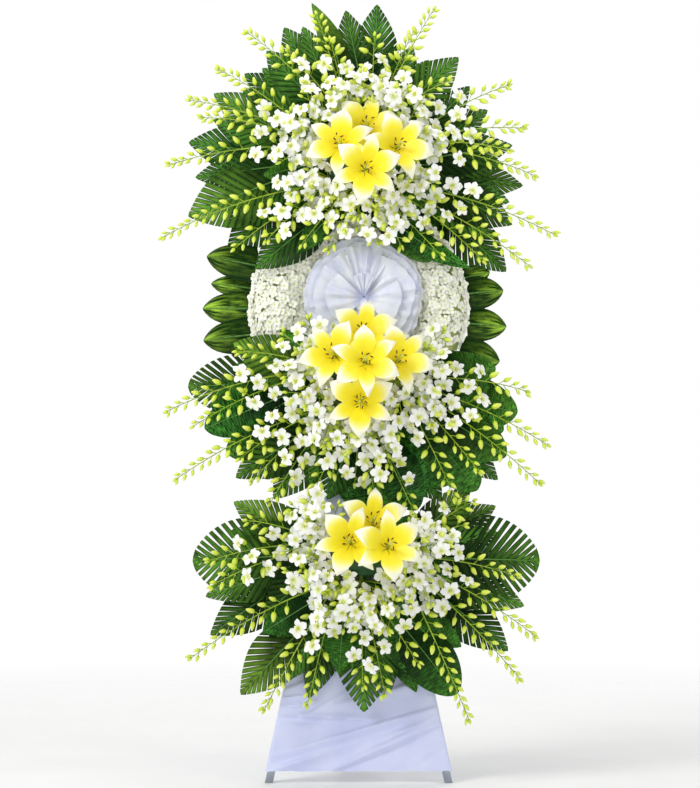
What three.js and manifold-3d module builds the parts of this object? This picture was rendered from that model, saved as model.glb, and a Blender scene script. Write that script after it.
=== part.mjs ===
// A three-tier funeral wreath on a leaning steel easel, in millimetres, +Z up, front towards -Y.
// Palm fronds, orchid sprays and lilies stand in three floral bricks tied to the mast. Between the
// upper two a round pad of white florets carries a tulle rosette, and white cloth wraps the legs.
import * as THREE from "three";
import { mergeVertices } from "three/addons/utils/BufferGeometryUtils.js";
import Module from "manifold-3d";

const wasm = await Module();
wasm.setup();

// Easel: 20 mm square tube, leaning back from its two front feet
const LEAN = THREE.MathUtils.degToRad(6);
const TUBE = 20;
const TUBE_WALL = 1.5;
const PLUG = 30;
const GAP = 0.4;
const FOOT_HALF_SPREAD = 228;
const LEG_CLOSING = 0.214;
const LEG_TOP = 990;
const MAST_BOTTOM = 470;
const MAST_TOP = 1650;
const LOW_BAR_Z = 110;
const MID_BAR_Z = 600;
const REAR_FOOT_Y = 400;
const REAR_TOP_Z = 960;

// Floral bricks, with the tiers' hearts measured up the mast from the floor
const BRICK = { width: 150, height: 110, depth: 120 };
const BRICK_BACK = -(TUBE / 2 + GAP);
const BRICK_X = 5;
const CLOTH_FRONT = -14;
const TOP_HEART = { x: 5, z: 1590 };
const MIDDLE_HEART = { x: 20, z: 1020 };
const BOTTOM_HEART = { x: 20, z: 575 };

// Stems end in a bound stub that stands in a plain hole in the brick
const STUB = { half: 4.5, outside: 12, inside: 24 };
const HOLE = { gap: 1, depth: 30 };

// Cable ties, low on the bricks where no stem stands
const TIE = { wall: 1.4, tall: 12 };

// Foliage
const BLADE = 3;
const PETIOLE = 7;
const LEAF_DEPTH = -42;

// Orchids
const SPRAY_DEPTH = -96;
const SPRAY_PITCH = 4.6;
const ORCHID = { petal: 24, notch: 10, reach: 26, node: 3.5, spacing: 48 };
const BUD = { length: 34, radius: 5.5, belly: 20 };

// Lilies
const LILY = { tip: 92, wall: 3 };

// Floret pad and rosette
const PAD = { z: 1210, radius: 281, backing: 262, backingDepth: 32, crest: 205, chord: -110 };
const ROSETTE = { x: 13, z: 1229, radius: 152, pleats: 19 };

const MATERIALS = {
  steel: { color: 0xb9bcc2, roughness: 0.25, metalness: 1 },
  foam: { color: 0x2f5a3a, roughness: 0.95, metalness: 0 },
  board: { color: 0xe9ebe6, roughness: 0.9, metalness: 0 },
  tie: { color: 0x24532f, roughness: 0.5, metalness: 0 },
  cloth: { color: 0xd5d8f2, roughness: 0.6, metalness: 0 },
  tulle: { color: 0xd9dcf6, roughness: 0.8, metalness: 0 },
  frond: { color: 0x1f6a24, roughness: 0.45, metalness: 0 },
  orchid: { color: 0xe4efc4, roughness: 0.6, metalness: 0 },
  floret: { color: 0xf2f3e2, roughness: 0.7, metalness: 0 },
  lily: { color: 0xf7e23c, roughness: 0.5, metalness: 0 },
};

const v3 = (x, y, z) => new THREE.Vector3(x, y, z);
const FRONT = v3(0, -1, 0);

// Solids and geometries

function solidFrom(points, faces) {
  const vertProperties = new Float32Array(points.flatMap((p) => [p.x, p.y, p.z]));
  const triVerts = new Uint32Array(faces.flat());
  return new wasm.Manifold(new wasm.Mesh({ numProp: 3, vertProperties, triVerts }));
}

function solidOf(geometry) {
  const bare = geometry.index ? geometry.toNonIndexed() : geometry.clone();
  bare.deleteAttribute("normal");
  bare.deleteAttribute("uv");
  const merged = mergeVertices(bare, 1e-4);
  return new wasm.Manifold(
    new wasm.Mesh({
      numProp: 3,
      vertProperties: merged.attributes.position.array,
      triVerts: new Uint32Array(merged.index.array),
    }),
  );
}

function geometryOf(solid) {
  const { numProp, numVert, vertProperties, triVerts } = solid.getMesh();
  const positions = new Float32Array(numVert * 3);
  for (let i = 0; i < numVert; i++) {
    positions.set(vertProperties.subarray(i * numProp, i * numProp + 3), i * 3);
  }
  const geometry = new THREE.BufferGeometry();
  geometry.setAttribute("position", new THREE.BufferAttribute(positions, 3));
  geometry.setIndex(new THREE.BufferAttribute(triVerts, 1));
  return geometry;
}

function joined(solids) {
  return solids.reduce((whole, next) => whole.add(next));
}

function meshOf(name, solid, material) {
  const geometry = geometryOf(solid).toNonIndexed();
  geometry.computeVertexNormals();
  const mesh = new THREE.Mesh(geometry, new THREE.MeshStandardMaterial(MATERIALS[material]));
  mesh.name = name;
  return mesh;
}

function boxSolid(low, high) {
  const size = high.clone().sub(low);
  const middle = low.clone().add(high).multiplyScalar(0.5);
  return solidOf(new THREE.BoxGeometry(size.x, size.y, size.z).translate(middle.x, middle.y, middle.z));
}

// A prism or cylinder of few sides from one point to another
function rodSolid(from, to, radius, sides, turn = 0) {
  const along = to.clone().sub(from);
  const geometry = new THREE.CylinderGeometry(radius, radius, along.length(), sides);
  geometry.rotateY(turn);
  const quaternion = new THREE.Quaternion().setFromUnitVectors(v3(0, 1, 0), along.clone().normalize());
  geometry.applyQuaternion(quaternion);
  const middle = from.clone().add(to).multiplyScalar(0.5);
  return solidOf(geometry.translate(middle.x, middle.y, middle.z));
}

// Closes an open surface that faces -Y with a second one behind it, split into triangles alike. The two
// meet along their margin, and the back stands off by the given vector at each inner point.
function lensSolid(points, faces, offset) {
  const rim = new Set();
  const edges = new Set(faces.flatMap(([a, b, c]) => [`${a},${b}`, `${b},${c}`, `${c},${a}`]));
  for (const edge of edges) {
    const [from, to] = edge.split(",");
    if (!edges.has(`${to},${from}`)) rim.add(Number(from)).add(Number(to));
  }
  const all = [...points];
  const behind = points.map((p, i) => (rim.has(i) ? i : all.push(p.clone().add(offset)) - 1));
  return solidFrom(all, [...faces, ...faces.map(([a, b, c]) => [behind[a], behind[c], behind[b]])]);
}

// Steel easel

function squareBar(from, to, size = TUBE) {
  const along = to.clone().sub(from).normalize();
  const side = Math.abs(along.x) > 0.9 ? v3(0, 1, 0) : v3(1, 0, 0);
  const across = side.clone().sub(along.clone().multiplyScalar(side.dot(along))).normalize();
  const third = along.clone().cross(across);
  const half = size / 2;
  const corners = [[-1, -1], [1, -1], [1, 1], [-1, 1]].map(([i, j]) =>
    across.clone().multiplyScalar(i * half).addScaledVector(third, j * half),
  );
  const points = [from, to].flatMap((end) => corners.map((corner) => corner.clone().add(end)));
  const faces = [[0, 2, 1], [0, 3, 2], [4, 5, 6], [4, 6, 7]];
  for (let i = 0; i < 4; i++) {
    const j = (i + 1) % 4;
    faces.push([i, j, j + 4], [i, j + 4, i + 4]);
  }
  return solidFrom(points, faces);
}

// The bore of a tube, to be cut from it once its ends are trimmed. It may stop short of either end.
function boreSolid(from, to, plugFrom, plugTo) {
  const along = to.clone().sub(from).normalize();
  return squareBar(
    from.clone().addScaledVector(along, plugFrom),
    to.clone().addScaledVector(along, -plugTo),
    TUBE - 2 * TUBE_WALL,
  );
}

function legX(z) {
  return FOOT_HALF_SPREAD - LEG_CLOSING * z;
}

// Everything under the floor, which the easel's lean tilts in its own frame
function underFloor() {
  const geometry = new THREE.BoxGeometry(2000, 2000, 200).translate(0, 0, -100);
  return solidOf(geometry.rotateX(LEAN));
}

function easelMeshes() {
  const half = TUBE / 2;
  const floor = underFloor();
  const mastRoom = boxSolid(
    v3(-half - GAP, -half - GAP, MAST_BOTTOM),
    v3(half + GAP, half + GAP, MAST_TOP),
  );
  const meshes = [];
  for (const [name, side] of [["front_leg_left", -1], ["front_leg_right", 1]]) {
    const foot = v3(side * legX(-40), 0, -40);
    const top = v3(side * legX(LEG_TOP), 0, LEG_TOP);
    const leg = squareBar(foot, top).subtract(floor).subtract(mastRoom);
    meshes.push(meshOf(name, leg.subtract(boreSolid(foot, top, 40 + PLUG, -1)), "steel"));
  }
  const mast = boxSolid(v3(-half, -half, MAST_BOTTOM), v3(half, half, MAST_TOP));
  const mastBore = boreSolid(v3(0, 0, MAST_BOTTOM), v3(0, 0, MAST_TOP), -1, PLUG);
  meshes.push(meshOf("mast", mast.subtract(mastBore), "steel"));

  const barReach = (z) => legX(z) - half / Math.cos(Math.atan(LEG_CLOSING)) - half * LEG_CLOSING - GAP;
  const bar = (name, from, to) => {
    const tube = squareBar(from, to).subtract(boreSolid(from, to, -1, -1));
    meshes.push(meshOf(name, tube, "steel"));
  };
  bar("low_crossbar", v3(-barReach(LOW_BAR_Z), 0, LOW_BAR_Z), v3(barReach(LOW_BAR_Z), 0, LOW_BAR_Z));
  bar("middle_crossbar_left", v3(-barReach(MID_BAR_Z), 0, MID_BAR_Z), v3(-half - GAP, 0, MID_BAR_Z));
  bar("middle_crossbar_right", v3(half + GAP, 0, MID_BAR_Z), v3(barReach(MID_BAR_Z), 0, MID_BAR_Z));

  const rearTop = v3(0, half - 4, REAR_TOP_Z);
  const rearFoot = v3(0, REAR_FOOT_Y * 1.06, -20);
  const rear = squareBar(rearTop, rearFoot).subtract(floor).subtract(mastRoom);
  meshes.push(meshOf("rear_leg", rear.subtract(boreSolid(rearTop, rearFoot, -1, PLUG + 40)), "steel"));

  const braceFrom = v3(0, half + GAP, LOW_BAR_Z);
  const braceTo = v3(0, 370, LOW_BAR_Z);
  const brace = squareBar(braceFrom, braceTo).subtract(boreSolid(braceFrom, braceTo, -1, -1));
  const rearRoom = squareBar(rearTop, rearFoot, TUBE + 2 * GAP);
  const pieces = brace.subtract(rearRoom).decompose().sort((a, b) => b.volume() - a.volume());
  meshes.push(meshOf("rear_brace", pieces[0], "steel"));
  return meshes;
}

// Leaves. Each is drawn from its root point towards its tip: s runs out along the rib and t across it.

// How wide the blade is along its length, as a share of its full half width
const OUTLINES = {
  pointed: (u) => Math.sin(Math.PI * u ** 0.8) ** 0.85,
  round: (u) => Math.sin(Math.PI * u ** 0.9) ** 0.55,
  strap: (u) => Math.sin(Math.PI * u ** 0.8) ** 0.8,
};

function leafSurface(root, leaf) {
  const toTip = v3(leaf.tip.x - root.x, 0, leaf.tip.z - root.z);
  const length = toTip.length();
  const heading = toTip.normalize();
  const side = v3(-heading.z, 0, heading.x);
  const bladeStart = Math.max(length - leaf.blade, STUB.outside);
  const span = length - bladeStart;
  const place = (s, t) => {
    const out = THREE.MathUtils.smoothstep(s, 0, bladeStart);
    const u = THREE.MathUtils.clamp((s - bladeStart) / span, 0, 1);
    const bow = (leaf.bow ?? 0) * 4 * (s / length) * (1 - s / length);
    const y = root.y + (leaf.depth - root.y) * out - (leaf.arch ?? 10) * Math.sin(Math.PI * u) * 0.6
      + (leaf.tilt ?? 0.05) * t * out + (leaf.fold ?? 0.1) * Math.abs(t);
    return v3(root.x, 0, root.z).addScaledVector(heading, s).addScaledVector(side, t + bow).setY(y);
  };
  const width = OUTLINES[leaf.outline];
  const edge = (u, sign) => place(bladeStart + span * u, (sign * leaf.width * width(u)) / 2);
  return { place, edge, bladeStart, span };
}

// Petiole: three points across, from inside the stub to the blade
function petioleStrip(place, bladeStart) {
  const points = [];
  const faces = [];
  for (const s of [-6, bladeStart * 0.55, bladeStart]) {
    points.push(place(s, PETIOLE / 2), place(s, 0), place(s, -PETIOLE / 2));
  }
  for (const a of [0, 3]) {
    faces.push([a, a + 1, a + 4], [a, a + 4, a + 3], [a + 1, a + 2, a + 5], [a + 1, a + 5, a + 4]);
  }
  return { points, faces, last: { left: 6, rib: 7, right: 8 } };
}

// A palm frond trimmed to an oval: leaflets in pairs along the rib, with a notch cut close to it
// between each two
function frondSolid(root, leaf) {
  const { place, edge, bladeStart, span } = leafSurface(root, leaf);
  const { points, faces, last } = petioleStrip(place, bladeStart);
  const count = leaf.leaflets;
  const gap = leaf.notch ?? 0.17;
  let from = last;
  for (let i = 0; i < count; i++) {
    const s = bladeStart + (span * 0.86 * (i + 1)) / count;
    const notch = leaf.width * THREE.MathUtils.lerp(0.11, 0.05, (i + 1) / count);
    const to = {
      left: points.push(place(s, notch)) - 1,
      rib: points.push(place(s, 0)) - 1,
      right: points.push(place(s, -notch)) - 1,
    };
    for (const [sign, near, far] of [[1, from.left, to.left], [-1, from.right, to.right]]) {
      const start = points.push(edge(0.1 + (0.9 * (i + gap)) / count, sign)) - 1;
      const end = points.push(edge(0.1 + (0.9 * (i + 1 - gap)) / count, sign)) - 1;
      const outline = [from.rib, to.rib, far, end, start, near];
      for (let k = 1; k < 5; k++) {
        const [a, b] = sign > 0 ? [outline[k], outline[k + 1]] : [outline[k + 1], outline[k]];
        faces.push([from.rib, a, b]);
      }
    }
    from = to;
  }
  const tip = points.push(place(bladeStart + span, 0)) - 1;
  faces.push([from.left, from.rib, tip], [from.rib, from.right, tip]);
  return lensSolid(points, faces, v3(0, BLADE, 0));
}

// A broad leaf in one sheet, folded a little along its rib
function broadSolid(root, leaf) {
  const { place, edge, bladeStart, span } = leafSurface(root, leaf);
  const { points, faces, last } = petioleStrip(place, bladeStart);
  let from = last;
  for (const u of leaf.stations ?? [0.22, 0.56, 0.86]) {
    const to = {
      left: points.push(edge(u, 1)) - 1,
      rib: points.push(place(bladeStart + span * u, 0)) - 1,
      right: points.push(edge(u, -1)) - 1,
    };
    faces.push([from.left, from.rib, to.rib], [from.left, to.rib, to.left]);
    faces.push([from.rib, from.right, to.right], [from.rib, to.right, to.rib]);
    from = to;
  }
  const tip = points.push(place(bladeStart + span, 0)) - 1;
  faces.push([from.left, from.rib, tip], [from.rib, from.right, tip]);
  return lensSolid(points, faces, v3(0, BLADE, 0));
}

// A bound stub, part outside its brick and part in its hole: a bar along one axis, wider in depth
// where many stems start side by side
function stubBox(root, inward, from, to, side, deep) {
  const a = root.clone().addScaledVector(inward, from);
  const b = root.clone().addScaledVector(inward, to);
  const grow = v3(inward.x === 0 ? side : 0, deep, inward.z === 0 ? side : 0);
  return boxSolid(a.clone().min(b).sub(grow), a.clone().max(b).add(grow));
}

function stubSolid(root, inward, deep = STUB.half) {
  return stubBox(root, inward, -4, STUB.outside + STUB.inside, STUB.half, deep);
}

function holeSolid(root, inward, deep = STUB.half) {
  return stubBox(root, inward, 0, STUB.outside + HOLE.depth, STUB.half + HOLE.gap, deep + HOLE.gap);
}

function polar(degrees, reach) {
  const angle = THREE.MathUtils.degToRad(degrees);
  return v3(reach * Math.cos(angle), 0, reach * Math.sin(angle));
}

// Where a ray from the brick's middle at this angle stands clear of its side, and the way back in
function sideRoot(degrees, depth, shift) {
  const ray = polar(degrees, 1);
  const halfWidth = BRICK.width / 2;
  const halfHeight = BRICK.height / 2;
  const sideways = Math.abs(ray.x) * halfHeight > Math.abs(ray.z) * halfWidth;
  const scale = sideways ? halfWidth / Math.abs(ray.x) : halfHeight / Math.abs(ray.z);
  const inward = sideways ? v3(-Math.sign(ray.x), 0, 0) : v3(0, 0, -Math.sign(ray.z));
  const root = ray.multiplyScalar(scale).addScaledVector(inward, -STUB.outside).setY(depth);
  root.x += shift;
  return { root, inward };
}

// Kinds of leaf: [angle, reach of the tip, kind, width, how far forward]
const LEAF_KINDS = {
  palm: { make: frondSolid, outline: "pointed", blade: 235, leaflets: 4 },
  fan: { make: frondSolid, outline: "round", blade: 250, leaflets: 5, notch: 0.22 },
  fern: { make: frondSolid, outline: "pointed", blade: 200, leaflets: 3 },
  broad: { make: broadSolid, outline: "round", blade: 210 },
  strap: { make: broadSolid, outline: "strap", blade: 250, bow: -28 },
  small: { make: broadSolid, outline: "pointed", blade: 150, stations: [0.2, 0.5, 0.8] },
  glossy: { make: broadSolid, outline: "round", blade: 128, stations: [0.22, 0.55, 0.85] },
};

// Glossy leaves at both sides of the floret pad
const PAD_LEAVES = {
  left: [
    [161, 413, "glossy", 96, -40], [170, 386, "glossy", 60, -16],
    [180, 401, "glossy", 88, -30], [192, 407, "glossy", 94, -44],
  ],
  right: [
    [16, 352, "glossy", 60, -20], [7, 375, "glossy", 88, -38],
    [-7, 383, "glossy", 90, -28], [-21, 387, "glossy", 92, -46],
  ],
};

function leafBunch(root, inward, leaves) {
  const solids = leaves.map(([angle, reach, kind, width, depth]) => {
    const leaf = { ...LEAF_KINDS[kind], width, depth, tip: polar(angle, reach) };
    return leaf.make(root, leaf);
  });
  return joined([stubSolid(root, inward), ...solids]);
}

// Orchids. A three-sided stem whose side faces open into the blooms and buds that it carries.

// Fills the band between two loops that run round the same axis, however many points each has
function stitch(points, faces, inner, outer, axis) {
  const middle = (loop) =>
    loop.reduce((sum, i) => sum.add(points[i]), v3(0, 0, 0)).divideScalar(loop.length);
  const aside = Math.abs(axis.x) < 0.8 ? v3(1, 0, 0) : v3(0, 0, 1);
  const across = new THREE.Vector3().crossVectors(axis, aside).normalize();
  const up = new THREE.Vector3().crossVectors(axis, across);
  const turnOf = (loop) => {
    const centre = middle(loop);
    return loop.map((i) => {
      const arm = points[i].clone().sub(centre);
      return Math.atan2(arm.dot(up), arm.dot(across));
    });
  };
  const innerTurn = turnOf(inner);
  const outerTurn = turnOf(outer);
  const full = 2 * Math.PI;
  const ahead = (turn, start) => (((turn - start) % full) + full) % full;
  let start = 0;
  outerTurn.forEach((turn, j) => {
    const off = Math.abs(((turn - innerTurn[0] + 3 * Math.PI) % full) - Math.PI);
    const best = Math.abs(((outerTurn[start] - innerTurn[0] + 3 * Math.PI) % full) - Math.PI);
    if (off < best) start = j;
  });
  let i = 0;
  let j = 0;
  const zero = innerTurn[0];
  const innerAt = (k) => (k >= inner.length ? full : k === 0 ? 0 : ahead(innerTurn[k], zero));
  const base = outerTurn[start];
  const shift = ((base - zero + 3 * Math.PI) % full) - Math.PI;
  const outerAt = (k) => {
    if (k >= outer.length) return shift + full;
    return shift + (k === 0 ? 0 : ahead(outerTurn[(start + k) % outer.length], base));
  };
  while (i < inner.length || j < outer.length) {
    const innerNow = inner[i % inner.length];
    const outerNow = outer[(start + j) % outer.length];
    if (j >= outer.length || (i < inner.length && innerAt(i + 1) <= outerAt(j + 1))) {
      faces.push([innerNow, inner[(i + 1) % inner.length], outerNow]);
      i++;
    } else {
      faces.push([innerNow, outer[(start + j + 1) % outer.length], outerNow]);
      j++;
    }
  }
}

function ringAround(points, centre, normal, radii, lift = 0) {
  const aside = Math.abs(normal.z) < 0.9 ? v3(0, 0, 1) : v3(1, 0, 0);
  const across = new THREE.Vector3().crossVectors(aside, normal).normalize();
  const up = new THREE.Vector3().crossVectors(normal, across);
  return radii.map((radius, k) => {
    const angle = (2 * Math.PI * k) / radii.length + Math.PI / 2;
    const point = centre.clone()
      .addScaledVector(across, radius * Math.cos(angle))
      .addScaledVector(up, radius * Math.sin(angle));
    if (k % 2 === 0) point.addScaledVector(normal, lift);
    return points.push(point) - 1;
  });
}

function addBloom(points, faces, loop, { from, side, centre }) {
  const normal = FRONT.clone().addScaledVector(side, 0.3).normalize();
  const radii = Array.from({ length: 10 }, (_, k) => (k % 2 ? ORCHID.notch : ORCHID.petal));
  const rim = ringAround(points, centre, normal, radii, 3);
  stitch(points, faces, loop, rim, centre.clone().sub(from).normalize());
  for (let k = 0; k < 10; k += 2) {
    faces.push([rim[k], rim[k + 1], rim[(k + 9) % 10]]);
  }
  faces.push([rim[1], rim[3], rim[5]], [rim[1], rim[5], rim[7]], [rim[1], rim[7], rim[9]]);
}

function addBud(points, faces, loop, { from, side, along }) {
  const way = side.clone().multiplyScalar(0.62).addScaledVector(FRONT, 0.35)
    .addScaledVector(along, 0.7).normalize();
  const { radius, belly, length } = BUD;
  const middle = from.clone().addScaledVector(way, belly);
  const ring = ringAround(points, middle, way, [radius, radius, radius]);
  stitch(points, faces, loop, ring, way);
  const tip = points.push(from.clone().addScaledVector(way, length)) - 1;
  ring.forEach((a, k) => faces.push([a, ring[(k + 1) % 3], tip]));
}

// The arching line of a spray, and the frame of its three-sided stem at any share of it
function sprayLine(root, tip, bulge, rise = 0.1) {
  const control = root.clone().lerp(tip, 0.5);
  control.y -= bulge;
  control.z += rise * Math.abs(tip.x - root.x);
  const curve = new THREE.QuadraticBezierCurve3(root.clone(), control, tip.clone());
  const frameAt = (at) => {
    const centre = curve.getPoint(at);
    const along = curve.getTangent(at);
    const front = FRONT.clone().addScaledVector(along, -FRONT.dot(along)).normalize();
    return { centre, along, front, side: new THREE.Vector3().crossVectors(along, front) };
  };
  return { length: root.distanceTo(tip), frameAt, nodes: [] };
}

function bloomAt(line, at, sign) {
  const { centre, along, side } = line.frameAt(at);
  const outward = side.clone().multiplyScalar(sign);
  const bloom = centre.clone().addScaledVector(outward, ORCHID.reach * 0.8)
    .addScaledVector(FRONT, ORCHID.reach * (sign > 0 ? 1 : 0.65)).addScaledVector(along, 6);
  return { add: addBloom, sign, centre: bloom };
}

// Blooms go where they clear the ones already placed, taking the sprays of a tier in turn
function placeBlooms(lines, keptClear) {
  const taken = [];
  for (let round = 0; round < 2; round++) {
    for (const line of lines) {
      let wanted = Math.min(2, line.blooms - 2 * round);
      const from = round === 0 ? 28 : (line.nodes[0]?.at ?? 0) * line.length + 34;
      for (let s = from; wanted > 0 && s < Math.min(from + 180, line.length * 0.8); s += 6) {
        const at = s / line.length;
        const free = [1, -1]
          .map((sign) => bloomAt(line, at, sign))
          .filter(({ centre }) => !keptClear.containsPoint(centre))
          .filter(({ centre }) => taken.every((other) => other.distanceTo(centre) > ORCHID.spacing))
          .slice(0, wanted);
        if (free.length > 0) {
          line.nodes.push({ at, carries: free });
          taken.push(...free.map((bloom) => bloom.centre));
          wanted -= free.length;
          s += 26;
        }
      }
    }
  }
}

function placeBuds(line) {
  const last = Math.max(...line.nodes.map((node) => node.at * line.length), 20);
  const room = line.length - last;
  const pair = [1, -1].map((sign) => ({ add: addBud, sign }));
  if (room > 96) {
    line.nodes.push({ at: (last + room * (room > 110 ? 0.62 : 0.5)) / line.length, carries: pair });
  }
}

function spraySolid(line) {
  const nodes = [...line.nodes].sort((a, b) => a.at - b.at);
  const half = ORCHID.node / line.length;
  const pairs = nodes.flatMap(({ at, carries }) => [{ at: at - half, carries }, { at: at + half }]);
  const stops = [{ at: 0 }, ...pairs, { at: 1 }];
  const points = [];
  const faces = [];
  const rings = stops.map(({ at }) => {
    const { centre, along, front, side } = line.frameAt(at);
    const radius = THREE.MathUtils.lerp(2.1, 1.8, at);
    const ids = [0, 1, 2].map((k) => {
      const angle = (2 * Math.PI * k) / 3;
      return points.push(centre.clone()
        .addScaledVector(front, radius * Math.cos(angle))
        .addScaledVector(side, radius * Math.sin(angle))) - 1;
    });
    return { ids, centre, along, side };
  });
  faces.push([rings[0].ids[2], rings[0].ids[1], rings[0].ids[0]]);
  for (let i = 0; i + 1 < rings.length; i++) {
    const a = rings[i];
    const b = rings[i + 1];
    for (let k = 0; k < 3; k++) {
      const l = (k + 1) % 3;
      const loop = [a.ids[k], a.ids[l], b.ids[l], b.ids[k]];
      const item = stops[i].carries?.find(({ sign }) => k === (sign > 0 ? 0 : 2));
      if (item) {
        const from = a.centre.clone().lerp(b.centre, 0.5);
        const side = a.side.clone().multiplyScalar(item.sign);
        item.add(points, faces, loop, { ...item, from, side, along: a.along });
      } else {
        faces.push([loop[0], loop[1], loop[2]], [loop[0], loop[2], loop[3]]);
      }
    }
  }
  const last = rings.at(-1);
  const belly = last.ids.map((id) => points.push(points[id].clone().sub(last.centre)
    .multiplyScalar(BUD.radius / 1.8).add(last.centre).addScaledVector(last.along, 8)) - 1);
  const point = points.push(last.centre.clone().addScaledVector(last.along, 20)) - 1;
  for (let k = 0; k < 3; k++) {
    const l = (k + 1) % 3;
    faces.push([last.ids[k], last.ids[l], belly[l]], [last.ids[k], belly[l], belly[k]]);
    faces.push([belly[k], belly[l], point]);
  }
  return solidFrom(points, faces);
}

// Lilies: six tepals that part outside the throat and curl back, on a stem bent from its hole

function lilySolid(brickFront, { x, z, y, turn, holeX, holeZ }) {
  const centre = v3(x, y, z);
  const normal = v3(x / 420, -1, z / 420 + 0.08).normalize();
  const across = new THREE.Vector3().crossVectors(v3(0, 0, 1), normal).normalize();
  const up = new THREE.Vector3().crossVectors(normal, across);
  const points = [];
  const faces = [];
  const add = (radius, degrees, height) => {
    const angle = THREE.MathUtils.degToRad(degrees + turn);
    return points.push(centre.clone()
      .addScaledVector(across, radius * Math.cos(angle))
      .addScaledVector(up, radius * Math.sin(angle))
      .addScaledVector(normal, height)) - 1;
  };
  const joins = Array.from({ length: 6 }, (_, k) => add(24, k * 60 - 30, -20));
  const mouth = [];
  const cup = [];
  for (let k = 0; k < 6; k++) {
    const middle = k * 60;
    const spread = THREE.MathUtils.radToDeg(Math.atan2(k % 2 ? 22 : 17, 58));
    const rib = add(44, middle, -11);
    const ribBack = add(44, middle, -11 - LILY.wall);
    const outline = [
      joins[k],
      add(61, middle - spread, 2),
      add(LILY.tip, middle, k % 2 ? -10 : -16),
      add(61, middle + spread, 2),
      joins[(k + 1) % 6],
    ];
    for (let i = 0; i < 4; i++) {
      faces.push([outline[i], outline[i + 1], rib], [outline[i + 1], outline[i], ribBack]);
    }
    mouth.push(joins[k], rib);
    cup.push(joins[k], ribBack);
  }

  // Throat and pistil
  const throat = [0, 120, 240].map((degrees) => add(3, degrees, -43));
  const pistilTip = add(0, 0, 26);
  const throatFaces = [];
  stitch(points, throatFaces, throat, mouth, normal);
  faces.push(...throatFaces.map(([i, j, k]) => [i, k, j]));
  throat.forEach((a, k) => faces.push([a, throat[(k + 1) % 3], pistilTip]));

  // Stem
  const neck = centre.clone().addScaledVector(normal, -50);
  const curve = new THREE.CatmullRomCurve3([
    v3(holeX, brickFront + STUB.inside, holeZ),
    v3(holeX, brickFront - 8, holeZ),
    v3(holeX, brickFront - 25, holeZ).lerp(neck.clone().addScaledVector(normal, -25), 0.5),
    neck.clone().addScaledVector(normal, -12),
    neck,
  ]);
  const rings = [[0, 3.5], [0.32, 3.5], [0.7, 4], [1, 7]].map(([at, radius]) => {
    const way = at === 1 ? normal : curve.getTangent(at);
    return ringAround(points, curve.getPoint(at), way, [radius, radius, radius]);
  });
  faces.push([rings[0][2], rings[0][1], rings[0][0]]);
  for (let i = 0; i < 3; i++) {
    for (let k = 0; k < 3; k++) {
      const l = (k + 1) % 3;
      const [a, b, c, d] = [rings[i][k], rings[i][l], rings[i + 1][l], rings[i + 1][k]];
      faces.push([a, b, c], [a, c, d]);
    }
  }
  stitch(points, faces, rings[3], cup, normal);
  return solidFrom(points, faces);
}

// Three tiers of flowers, measured from the heart of each. Leaves: see LEAF_KINDS. Sprays: x and z of
// the tip, the number of blooms, then the tip's depth. Lilies: x, z and depth of the throat, how far the
// flower is turned, then x and z of its hole in the brick's face.

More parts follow.
